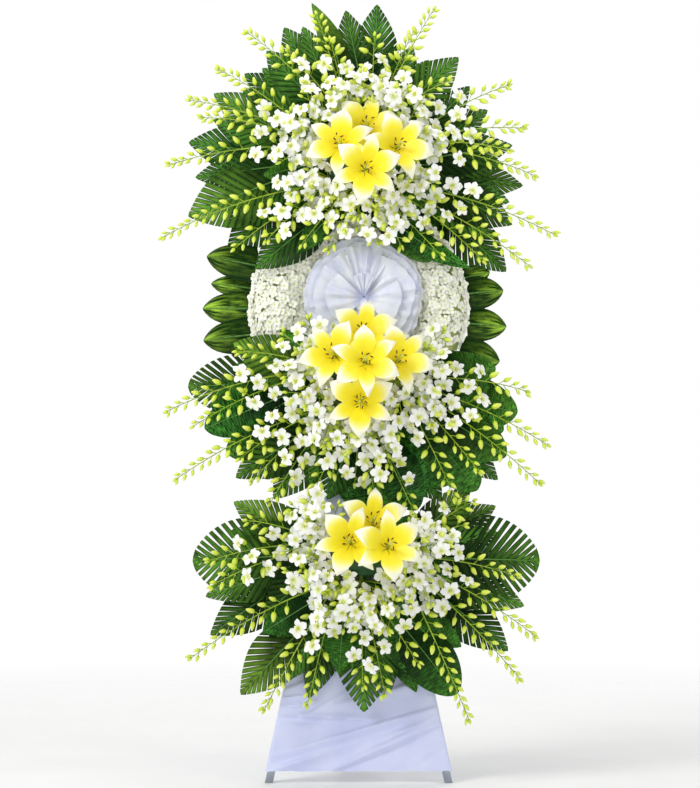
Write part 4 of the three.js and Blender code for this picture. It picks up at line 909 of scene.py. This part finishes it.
# Orchid sprays: white flowers near the foam and lime buds to the tip, on arching stems. A spray is
# given by its tip from the heart of the tier (x, z), its number of flowers and its depth, in mm.
BLOOM_REACH = 0.026
SPRAYS = {
    "top_orchids_upper_left": (112, -96, [
        (-113, 373, 3, -105), (-290, 326, 3, -105), (-185, 275, 2, -105), (-77, 300, 2, -130)]),
    "top_orchids_upper_right": (66, -96, [
        (188, 386, 3, -105), (136, 330, 1, -105), (36, 312, 3, -130), (224, 193, 2, -135)]),
    "top_orchids_left": (163, -96, [
        (-365, 229, 2, -105), (-437, 149, 3, -105), (-403, 98, 2, -135), (-488, -18, 3, -105)]),
    "top_orchids_lower_left": (222, -96, [
        (-506, -206, 3, -105), (-321, -239, 3, -130), (-240, -222, 3, -150)]),
    "top_orchids_lower": (268, -114, [
        (-150, -235, 3, -165), (-80, -250, 3, -170), (-10, -190, 3, -165),
        (42, -226, 2, -170), (103, -236, 3, -165), (205, -262, 3, -150)]),
    "top_orchids_lower_right": (-46, -96, [(311, -270, 3, -130), (429, -278, 3, -105), (493, -198, 3, -105)]),
    "top_orchids_right": (17, -96, [
        (445, -46, 3, -105), (416, 77, 3, -105), (380, 13, 2, -140), (378, 188, 3, -105)]),
    "middle_orchids_left": (166, -124, [
        (-211, 108, 1, -150), (-329, 66, 3, -135), (-506, -82, 3, -105), (-437, -123, 3, -135)]),
    "middle_orchids_lower_left": (222, -96, [
        (-481, -254, 3, -105), (-321, -206, 3, -140), (-290, -262, 3, -105), (-244, -316, 3, -105)]),
    "middle_orchids_lower": (270, -96, [
        (-150, -322, 3, -120), (-88, -244, 3, -150), (-30, -268, 3, -130),
        (18, -286, 2, -150), (60, -226, 3, -165), (121, -344, 3, -125)]),
    "middle_orchids_right": (-6, -118, [
        (222, -303, 3, -135), (283, -240, 3, -150), (437, -265, 3, -105),
        (457, -167, 3, -105), (406, -31, 3, -105), (193, 112, 1, -150)]),
    "bottom_orchids_left": (165, -96, [
        (-303, 85, 3, -105), (-188, 123, 3, -135), (-398, -18, 3, -105), (-391, -82, 3, -130)]),
    "bottom_orchids_lower_left": (224, -96, [
        (-442, -262, 3, -105), (-257, -391, 3, -105), (-149, -380, 3, -105)]),
    "bottom_orchids_lower": (270, -96, [
        (-58, -193, 3, -170), (-10, -334, 3, -105), (46, -352, 3, -105), (129, -278, 3, -130)]),
    "bottom_orchids_right": (-8, -96, [
        (257, -416, 3, -105), (386, -314, 3, -105), (424, -206, 3, -105),
        (380, -57, 3, -105), (270, 134, 3, -105), (245, 72, 2, -140)]),
}
# Depth of the back face of each tier's brick, in metres; the middle of the mast is at 0
BRICK_BACKS = {"top": -0.0104, "middle": -0.0104, "bottom": -0.017}
# Lily: x, z, depth, turn in degrees, then x and z of its hole in the foam, from the heart, in mm
LILIES = {
    "top_lily_left": (-53, 16, -244, 24, -45, 10),
    "top_lily_upper": (16, 68, -200, 75, 5, 35),
    "top_lily_right": (98, 8, -246, 50, 52, 5),
    "top_lily_lower": (15, -60, -296, 80, 5, -14),
    "middle_lily_upper": (-8, 112, -216, 80, -15, 38),
    "middle_lily_left": (-84, 48, -266, 10, -62, 22),
    "middle_lily_centre": (-3, 24, -322, 35, -14, 6),
    "middle_lily_right": (82, 38, -246, 45, 42, 20),
    "middle_lily_lower": (-16, -74, -270, 88, -18, -16),
    "bottom_lily_left": (-43, 24, -262, 70, -50, 8),
    "bottom_lily_upper": (18, 78, -208, 85, -5, 30),
    "bottom_lily_right": (56, 12, -300, 95, 38, 4),
}

orchid_petal_skin = petal_material(
    "White orchid petal", [(0.20, "#C4D648"), (0.38, "#EDF2CC"), (0.66, "#F9FAF6")], 8, 0.42, 0.2)
orchid_heart_skin = petal_material(
    "Yellow-green orchid lip", [(0.1, "#B8CC2E"), (0.5, "#E0E46A"), (0.95, "#F3F3B4")], 4, 0.45, 0.15)
bud_skin = petal_material(
    "Lime orchid bud", [(0.15, "#94BC1E"), (0.5, "#CDE238"), (0.95, "#E4EC72")], 5, 0.4, 0.15)
stem_skin = flecked_material(
    "Yellow-green orchid stem", 80.0, "#7DA01E", "#B9D13C", 0.45, {"Subsurface Weight": 0.08})

# The flower: three narrow sepals, two broad petals, a small folded lip and the column
sepal = petal(0.0255, 0.0150, 0.0014, 0.0022, 0.0040)
broad = petal(0.0260, 0.0205, 0.0012, 0.0030, 0.0030)
lip = petal(0.0125, 0.0105, 0.0010, 0.0042, 0.0060, 3)
bloom = join("bloom", ring_of([sepal, broad, broad, sepal, sepal], [90, 22, 158, 218, 322], 6))
bloom.data.materials.append(orchid_petal_skin)
folded_lip = ring_of([lip], [270], 26)[0]
folded_lip.data.materials.append(orchid_heart_skin)
column = cone(0.0022, 0.0012, 0.006, 0.0024, "NGON", orchid_heart_skin)
bloom = join("bloom", [bloom, folded_lip, column])
for template in (sepal, broad, lip):
    bpy.data.objects.remove(template)

# A bud: a drop 24 mm long with a blunt green tip, made along +z from its base
BUD_LENGTH = 0.024
BUD_RADIUS = 0.0074
bpy.ops.mesh.primitive_uv_sphere_add(segments=6, ring_count=5, radius=1)
bud = bpy.context.object
for vertex in bud.data.vertices:
    rise = (vertex.co.z + 1) / 2
    belly = BUD_RADIUS * (1.15 - 0.6 * rise)
    vertex.co = (vertex.co.x * belly, vertex.co.y * belly + 0.002 * rise * rise, BUD_LENGTH * rise)
for loop_uv in bud.data.uv_layers["UVMap"].data:
    loop_uv.uv = (loop_uv.uv[1], loop_uv.uv[0])
bud.data.materials.append(bud_skin)


class Spray:
    """The arching line of one stem: its points, the way along it and the way to its side."""

    def __init__(self, root, tip, bulge):
        control = root.lerp(tip, 0.5)
        control.y -= bulge
        control.z += 0.1 * abs(tip.x - root.x)
        self.points = (root, control, tip)
        self.length = (tip - root).length
        self.blooms = []

    def centre(self, at):
        a, b, c = self.points
        return a * (1 - at) ** 2 + b * 2 * at * (1 - at) + c * at ** 2

    def frame(self, at):
        a, b, c = self.points
        along = ((b - a) * (1 - at) + (c - b) * at).normalized()
        front = Vector((0, -1, 0))
        front = (front - along * front.dot(along)).normalized()
        return self.centre(at), along, along.cross(front)

    def bloom_at(self, at, sign):
        centre, along, side = self.frame(at)
        spot = centre + side * sign * BLOOM_REACH * 0.8 + along * 0.006
        spot.y -= BLOOM_REACH * (1 if sign > 0 else 0.65)
        return spot


def lily_axis(x, z):
    """The way a lily faces, from where its throat is in mm."""
    return Vector((x / 420, -1, z / 420 + 0.08)).normalized()


def under_lily(spot, tier):
    """Whether a flower here would touch one of the lilies of its tier."""
    for node, (x, z, y, _, _, _) in LILIES.items():
        if node.startswith(tier):
            normal = lily_axis(x, z)
            arm = spot - Vector((x, y, z)) / 1000
            rise = arm.dot(normal)
            aside = (arm - normal * rise).length
            floor = -0.030 - 0.045 * max(0, 1 - aside / 0.05)
            if aside < 0.088 and floor < rise < 0.06:
                return True
    return False


def place_blooms(tier, sprays, low, high, spacing, taken, rounds):
    """Up to two flowers more on each spray in each round, wherever the ones taken leave room. One round
    alone stays near the heart and clear of the lilies; low and high bound the brick."""
    for turn in range(rounds):
        for spray, wanted_in_all in sprays:
            wanted = min(2, wanted_in_all - 2 * turn)
            first = 0.028
            if turn > 0 and spray.blooms:
                first = spray.blooms[0][0] * spray.length + 0.034
            s = first
            while wanted > 0 and s < min(first + 0.180, spray.length * 0.96):
                found = []
                for sign in (1, -1):
                    spot = spray.bloom_at(s / spray.length, sign)
                    in_brick = all(l < c < h for l, c, h in zip(low, spot, high))
                    too_far = rounds == 1 and math.hypot(spot.x, spot.z) > 0.21
                    if in_brick or too_far or (rounds == 1 and under_lily(spot, tier)):
                        continue
                    if all((other - spot).length > spacing for other in taken):
                        found.append((s / spray.length, sign, spot))
                found = found[:wanted]
                if found:
                    spray.blooms += found
                    taken += [spot for _, _, spot in found]
                    wanted -= len(found)
                    s += 0.026
                s += 0.006


def add_blooms(line, pieces, lines, draw):
    for at, sign, spot in line.blooms:
        base, _, side = line.frame(at)
        normal = Vector((0, -1, 0)) + side * sign * 0.3 + Vector((spot.x, 0, spot.z)) * 1.2
        normal += Vector((draw.uniform(-0.75, 0.75), 0, draw.uniform(-0.75, 0.75) + 0.05))
        normal.normalize()
        size = Matrix.Scale(draw.uniform(0.86, 1.08), 4)
        facing = face_towards(normal, draw.uniform(0, FULL_TURN))
        pieces.append(copy_to(bloom, Matrix.Translation(spot) @ facing @ size))
        middle = base.lerp(spot, 0.5) + Vector((0, 0.003, 0))
        lines.append([(base, 0.0010), (middle, 0.0009), (spot - normal * 0.001, 0.0012)])


def add_buds(line, pieces, lines, draw):
    """Buds from the last flower to the tip, smaller and closer there, and a few between the flowers."""
    last = max([at for at, _, _ in line.blooms] + [0.12])
    s = 0.3 * line.length
    sign = 1
    while s < line.length - 0.006:
        at = s / line.length
        base, along, side = line.frame(at)
        near_tip = smoothstep(at, last, 1)
        size = Matrix.Scale((1.14 - 0.42 * near_tip) * draw.uniform(0.88, 1.1), 4)
        way = side * sign * (0.85 - 0.35 * near_tip) + along * (0.6 + 0.35 * near_tip)
        sideways, forward = draw.uniform(-0.2, 0.2), -0.42 + draw.uniform(-0.25, 0.25)
        way += Vector((sideways, forward, draw.uniform(-0.1, 0.1)))
        way = way.normalized()
        stalk = 0.0160 * (1.1 - 0.55 * near_tip)
        spot = base + way * stalk
        droop = (way + Vector((0, 0, -0.18))).normalized()
        facing = face_towards(droop, draw.uniform(0, FULL_TURN))
        pieces.append(copy_to(bud, Matrix.Translation(spot) @ facing @ size))
        middle = base + way * stalk * 0.5
        lines.append([(base, 0.0010), (middle, 0.0009), (spot + droop * 0.002, 0.0013)])
        sign = -sign
        s += 0.0165 - 0.006 * near_tip + draw.uniform(-0.0025, 0.0025) + (0.009 if at < last else 0)
    end, along, _ = line.frame(1.0)
    end_bud = Matrix.Translation(end - along * 0.002) @ face_towards(along, 0)
    pieces.append(copy_to(bud, end_bud @ Matrix.Scale(0.7, 4)))


draw = random.Random(37)
for tier in HEARTS:
    heart = tier_heart(tier)
    bunches = {}
    for node, (angle, root_depth, tips) in SPRAYS.items():
        if not node.startswith(tier):
            continue
        root, inward = side_root(angle, root_depth / 1000, BRICK_X - heart.x)
        sprays = []
        for i, (x, z, blooms, depth) in enumerate(tips):
            start = root + Vector((0, 0.0046 * (i + 0.5 - len(tips) / 2), 0))
            line = Spray(start, Vector((x, depth, z)) / 1000, 0.034 if i % 2 else 0.058)
            sprays.append((line, blooms))
        # Short stems that carry flowers close round the lilies
        fan = (-44, -30, -15, 0, 15, 30, 44) if tier != "top" else (-24, -12, 0, 12, 24)
        for i, step in enumerate(fan):
            turn, reach = math.radians(angle + step), (0.140, 0.205, 0.170)[i % 3]
            tip = Vector((reach * math.cos(turn), -0.176 - 0.008 * (i % 3), reach * math.sin(turn)))
            sprays.append((Spray(root + Vector((0, 0.003 * (i - 3), 0)), tip, 0.03), 0))
        bunches[node] = (root, inward, sprays)
    back = BRICK_BACKS[tier]
    low = Vector((BRICK_X - heart.x - BRICK_WIDE, back - BRICK_DEEP, -BRICK_HIGH)) - Vector((0.024,) * 3)
    high = Vector((BRICK_X - heart.x + BRICK_WIDE, back, BRICK_HIGH)) + Vector((0.024,) * 3)
    every_spray = [entry for _, _, sprays in bunches.values() for entry in sprays]
    taken = []
    place_blooms(tier, every_spray, low, high, 0.048, taken, 2)
    for spacing in (0.036, 0.032):
        place_blooms(tier, [(line, 2) for line, _ in every_spray], low, high, spacing, taken, 1)
    for node, (root, inward, sprays) in bunches.items():
        pieces, lines = [], []
        for line, _ in sprays:
            lines.append([(line.centre(k / 16), 0.0022 - 0.0012 * k / 16) for k in range(17)])
            add_blooms(line, pieces, lines, draw)
            add_buds(line, pieces, lines, draw)
        lines.append([(root - inward * 0.004, 0.0050), (root + inward * 0.036, 0.0050)])
        stalks = stems(node + "_stalks", lines, stem_skin, 0)
        flowers = join(node.replace("orchids", "orchid_sprays"), pieces + [stalks])
        flowers.data.transform(LEANT @ Matrix.Translation(heart))
        smooth_by_angle(flowers, 65)
        part_for(flowers, "orchid", node)
bpy.data.objects.remove(bloom)
bpy.data.objects.remove(bud)


# Lilies: six tepals curled back at their ends, yellow to cream, with six stamens and a pistil. The
# three inner tepals are broader and waved. Each stands on a bent stem set in the face of the foam.
lily_skin = new_material("Yellow lily tepal")
uv = add_node(lily_skin, "UVMap", uv_map="UVMap")
split = add_node(lily_skin, "SeparateXYZ", {"Vector": uv})
along = split.outputs["X"]
off_rib = add_node(lily_skin, "Math", {0: split.outputs["Y"], 1: 0.5}, operation="SUBTRACT")
off_rib = add_node(lily_skin, "Math", {0: off_rib}, operation="ABSOLUTE")
# It pales towards its point and its edges
edge = add_node(lily_skin, "Math", {0: off_rib, 1: 2.2}, operation="POWER")
edge = add_node(lily_skin, "Math", {0: edge, 1: 1.3}, operation="MULTIPLY")
edge = add_node(lily_skin, "Math", {0: edge, 1: along}, operation="MULTIPLY")
fade = add_node(lily_skin, "Math", {0: along, 1: 2.0}, operation="POWER")
fade = add_node(lily_skin, "Math", {0: fade, 1: 0.98}, operation="MULTIPLY")
fade = add_node(lily_skin, "Math", {0: fade, 1: edge}, operation="ADD")
blotch = add_node(lily_skin, "TexNoise", {
    "Vector": add_node(lily_skin, "TexCoord"), "Scale": 30.0, "Detail": 3.0})
wander = add_node(lily_skin, "MapRange", {"Value": blotch, "To Min": -0.12, "To Max": 0.12})
fade = add_node(lily_skin, "Math", {0: fade, 1: wander}, operation="ADD")
petal_tone = add_node(lily_skin, "ValToRGB", {"Fac": fade}, [
    (0.02, "#FAE400"), (0.26, "#FFF01E"), (0.44, "#FCF486"), (0.64, "#FAF8E0")])
# The nectar furrow: a dark green line on the rib, for the first fifth of the tepal
near_rib = add_node(lily_skin, "MapRange", {
    "Value": off_rib, "From Min": 0.02, "From Max": 0.07, "To Min": 1.0, "To Max": 0.0})
near_throat = add_node(lily_skin, "MapRange", {
    "Value": along, "From Min": 0.10, "From Max": 0.24, "To Min": 1.0, "To Max": 0.0})
furrow = add_node(lily_skin, "Math", {0: near_rib, 1: near_throat}, operation="MULTIPLY")
colour = add_node(lily_skin, "Mix", {
    "Factor": furrow, "A": petal_tone, "B": linear("#4C6A12")}, data_type="RGBA")
run = add_node(lily_skin, "Mapping", {"Vector": uv, "Scale": (1.2, 22, 1)})
veins = add_node(lily_skin, "TexNoise", {"Vector": run, "Scale": 2.0, "Detail": 3.0})
finish_material(lily_skin, colour, 0.42, (veins, 0.3, 0.001), {
    "Subsurface Weight": 0.2, "Subsurface Radius": (0.008, 0.006, 0.002), "Sheen Weight": 0.15})
anther_skin = petal_material(
    "Brown-red lily anther", [(0.2, "#2C0F08"), (0.6, "#4E1C0C"), (0.95, "#6E3010")], 6, 0.8, 0.0)
filament_skin = petal_material(
    "Pale green filament", [(0.1, "#7E9A2A"), (0.5, "#B9C850"), (0.95, "#D6DA80")], 3, 0.45, 0.1)


def between(table, x):
    for (x0, y0), (x1, y1) in zip(table, table[1:]):
        if x <= x1:
            share = (x - x0) / (x1 - x0)
            return y0 + (y1 - y0) * share
    return table[-1][1]


def eased(table, x):
    return sum(between(table, min(max(x + d, 0), 92)) for d in (-6, -3, 0, 3, 6)) / 5


def tepal(half_width, tip_height, ripple):
    """One tepal along +x, 92 mm long, from tables of its height and half width at each reach, in mm."""
    heights = [(0, -43), (12, -34), (24, -20), (44, -8), (61, 2), (78, -1), (92, tip_height)]
    widths = [(0, 4), (10, 9), (24, 18), (38, half_width * 0.96), (50, half_width), (64, half_width * 0.84),
              (76, half_width * 0.54), (86, half_width * 0.22), (92, 0.5)]
    blade = grid(16, 8)
    for vertex in blade.data.vertices:
        share, across = (vertex.co.x + 1) / 2, vertex.co.y
        radius = 3 + 89 * share
        half = eased(widths, radius) if radius < 84 else between(widths, radius)
        height = eased(heights, radius)
        height += -2.4 * (1 - abs(across)) ** 1.5 * math.sin(math.pi * min(share * 1.1, 1)) + 1.6
        height += ripple * math.sin(share * 17 + across * 1.5) * across ** 2 * share
        height -= 3.5 * across ** 2 * smoothstep(share, 0.55, 1.0)
        vertex.co = Vector((radius, across * half, height)) / 1000
    return blade


def smooth_path(knots, steps):
    """Points on a curve through the knots, without the last one."""
    points = []
    for a, b, c, d in zip([knots[0]] + knots, knots, knots[1:], knots[2:] + [knots[-1]]):
        for j in range(steps):
            t = j / steps
            points.append(0.5 * (2 * b + (c - a) * t + (2 * a - 5 * b + 4 * c - d) * t ** 2
                                 + (3 * b - a - 3 * c + d) * t ** 3))
    return points


sepal = tepal(20, -17, 0.6)
inner = tepal(28, -11, 2.0)
bpy.ops.mesh.primitive_uv_sphere_add(segments=6, ring_count=6, radius=1)
anther = bpy.context.object
for vertex in anther.data.vertices:
    vertex.co = (vertex.co.x * 0.0018, vertex.co.y * 0.0018, vertex.co.z * 0.0052)
anther.data.materials.append(anther_skin)

draw = random.Random(53)
for node, (x, z, y, turn, hole_x, hole_z) in LILIES.items():
    normal = lily_axis(x, z)
    across = Vector((0, 0, 1)).cross(normal).normalized()
    centre = Vector((x, y, z)) / 1000
    facing = Matrix((across, normal.cross(across), normal)).transposed().to_4x4()
    in_place = Matrix.Translation(centre) @ facing
    tepals = []
    for k in range(6):
        spin = Matrix.Rotation(math.radians(turn + k * 60 + draw.uniform(-3, 3)), 4, "Z")
        lift = Matrix.Translation((0, 0, 0.0012 if k % 2 else -0.0006))
        nod = Matrix.Rotation(math.radians(draw.uniform(-2.5, 2.5)), 4, "Y")
        roll = Matrix.Rotation(math.radians(draw.uniform(-5, 5)), 4, "X")
        tepals.append(copy_to(inner if k % 2 else sepal, in_place @ lift @ spin @ nod @ roll))
    flower = join(node.replace("lily", "yellow_lily"), tepals)
    flower.data.materials.append(lily_skin)
    modify(flower, "SOLIDIFY", thickness=0.0009, offset=0)
    stalks, anthers = [], []
    for k in range(6):
        way = math.radians(turn + 30 + k * 60 + draw.uniform(-8, 8))
        lean, rise = draw.uniform(8, 17), draw.uniform(14, 20)
        path = []
        for j in range(6):
            share = j / 5
            spread = (2 + lean * share ** 1.4) / 1000
            height = (-38 + (rise + 38) * share) / 1000
            spot = in_place @ Vector((spread * math.cos(way), spread * math.sin(way), height))
            path.append((spot, 0.0010 - 0.0003 * share))
        stalks.append(path)
        hinge = Vector((math.cos(way + 1), math.sin(way + 1), 0))
        tilt = Matrix.Rotation(math.radians(draw.uniform(20, 110)), 4, hinge)
        anthers.append(copy_to(anther, Matrix.Translation(path[-1][0]) @ facing @ tilt))
    # The pistil widens to a blunt end
    pistil = []
    for j in range(6):
        spot = in_place @ Vector((0, 0, (-40 + 64 * j / 5) / 1000))
        pistil.append((spot, 0.0016 if j < 5 else 0.0030))
    pistil.append((in_place @ Vector((0, 0, 0.0262)), 0.0022))
    # The stem comes out of the foam straight and bends up to the flower
    hole = Vector((hole_x / 1000, BRICK_BACKS[node.split("_")[0]] - BRICK_DEEP, hole_z / 1000))
    neck = centre - normal * 0.050
    bend = (hole + Vector((0, -0.025, 0))).lerp(neck - normal * 0.025, 0.5)
    knots = [hole + Vector((0, 0.024, 0)), hole + Vector((0, -0.008, 0)), bend, neck - normal * 0.012, neck,
             centre - normal * 0.040]
    stem_path = [(spot, 0.0034 if k < 18 else 0.0046) for k, spot in enumerate(smooth_path(knots, 5))]
    stem_path.append((knots[-1], 0.0058))
    stalk = stems("lily_stalk", stalks + [pistil, stem_path], filament_skin)
    flower = join(flower.name, [flower, stalk] + anthers)
    flower.data.transform(LEANT @ Matrix.Translation(tier_heart(node)))
    smooth_by_angle(flower, 60)
    part_for(flower, "lily", node)
for template in (sepal, inner, anther):
    bpy.data.objects.remove(template)


# Studio: a plain pale floor and soft light from a wide window on the left, with fills from the right,
# from behind and from the ceiling
floor = grid(8, 8)
floor.scale = (4.5, 4.5, 1)
bpy.ops.object.transform_apply(scale=True)
floor.name = "studio_floor"
floor.location = (0, 0, -0.0005)
paint = new_material("Pale studio floor paint")
place = add_node(paint, "TexCoord")
# The floor fades into the white room behind it, so that no horizon shows
away = add_node(paint, "VectorMath", {0: place}, operation="LENGTH")
fade = add_node(paint, "MapRange", {
    "Value": away, "From Min": 0.7, "From Max": 3.6, "To Min": 1.0, "To Max": 0.0})
scuffs = add_node(paint, "TexNoise", {"Vector": place, "Scale": 3.0, "Detail": 4.0})
colour = add_node(paint, "ValToRGB", {"Fac": scuffs}, [(0.3, "#F7F7F6"), (0.7, "#FCFCFB")])
finish_material(paint, colour, 0.7, None, {"Alpha": fade})
floor.data.materials.append(paint)

for name, spot, aim, size, power in [
    ("window_left", (-3.4, -3.6, 4.2), (0, 0, 1.0), 2.2, 150),
    ("fill_right", (3.6, -4.0, 2.0), (0, 0, 0.9), 3.0, 26),
    ("back_top", (0.5, 3.4, 3.4), (0, 0, 1.2), 2.5, 40),
    ("ceiling", (0, 0, 6.5), (0, 0, 0), 8.0, 260),
]:
    light = bpy.data.lights.new(name, "AREA")
    light.size = size
    light.energy = power
    lamp = bpy.data.objects.new(name, light)
    lamp.location = spot
    lamp.rotation_euler = (Vector(aim) - Vector(spot)).to_track_quat("-Z", "Y").to_euler()
    bpy.context.scene.collection.objects.link(lamp)
world = bpy.data.worlds.new("white_room")
bpy.context.scene.world = world
world.use_nodes = True
# White walls all round, dimmer towards the ceiling
around = add_node(world, "TexCoord").node.outputs["Generated"]
height = add_node(world, "SeparateXYZ", {"Vector": around}).outputs["Z"]
background = world.node_tree.nodes["Background"]
background.inputs["Color"].default_value = (1, 1, 1, 1)
dim = add_node(world, "MapRange", {
    "Value": height, "From Min": 0.14, "From Max": 0.50, "To Min": 1.0, "To Max": 0.15})
world.node_tree.links.new(dim, background.inputs["Strength"])
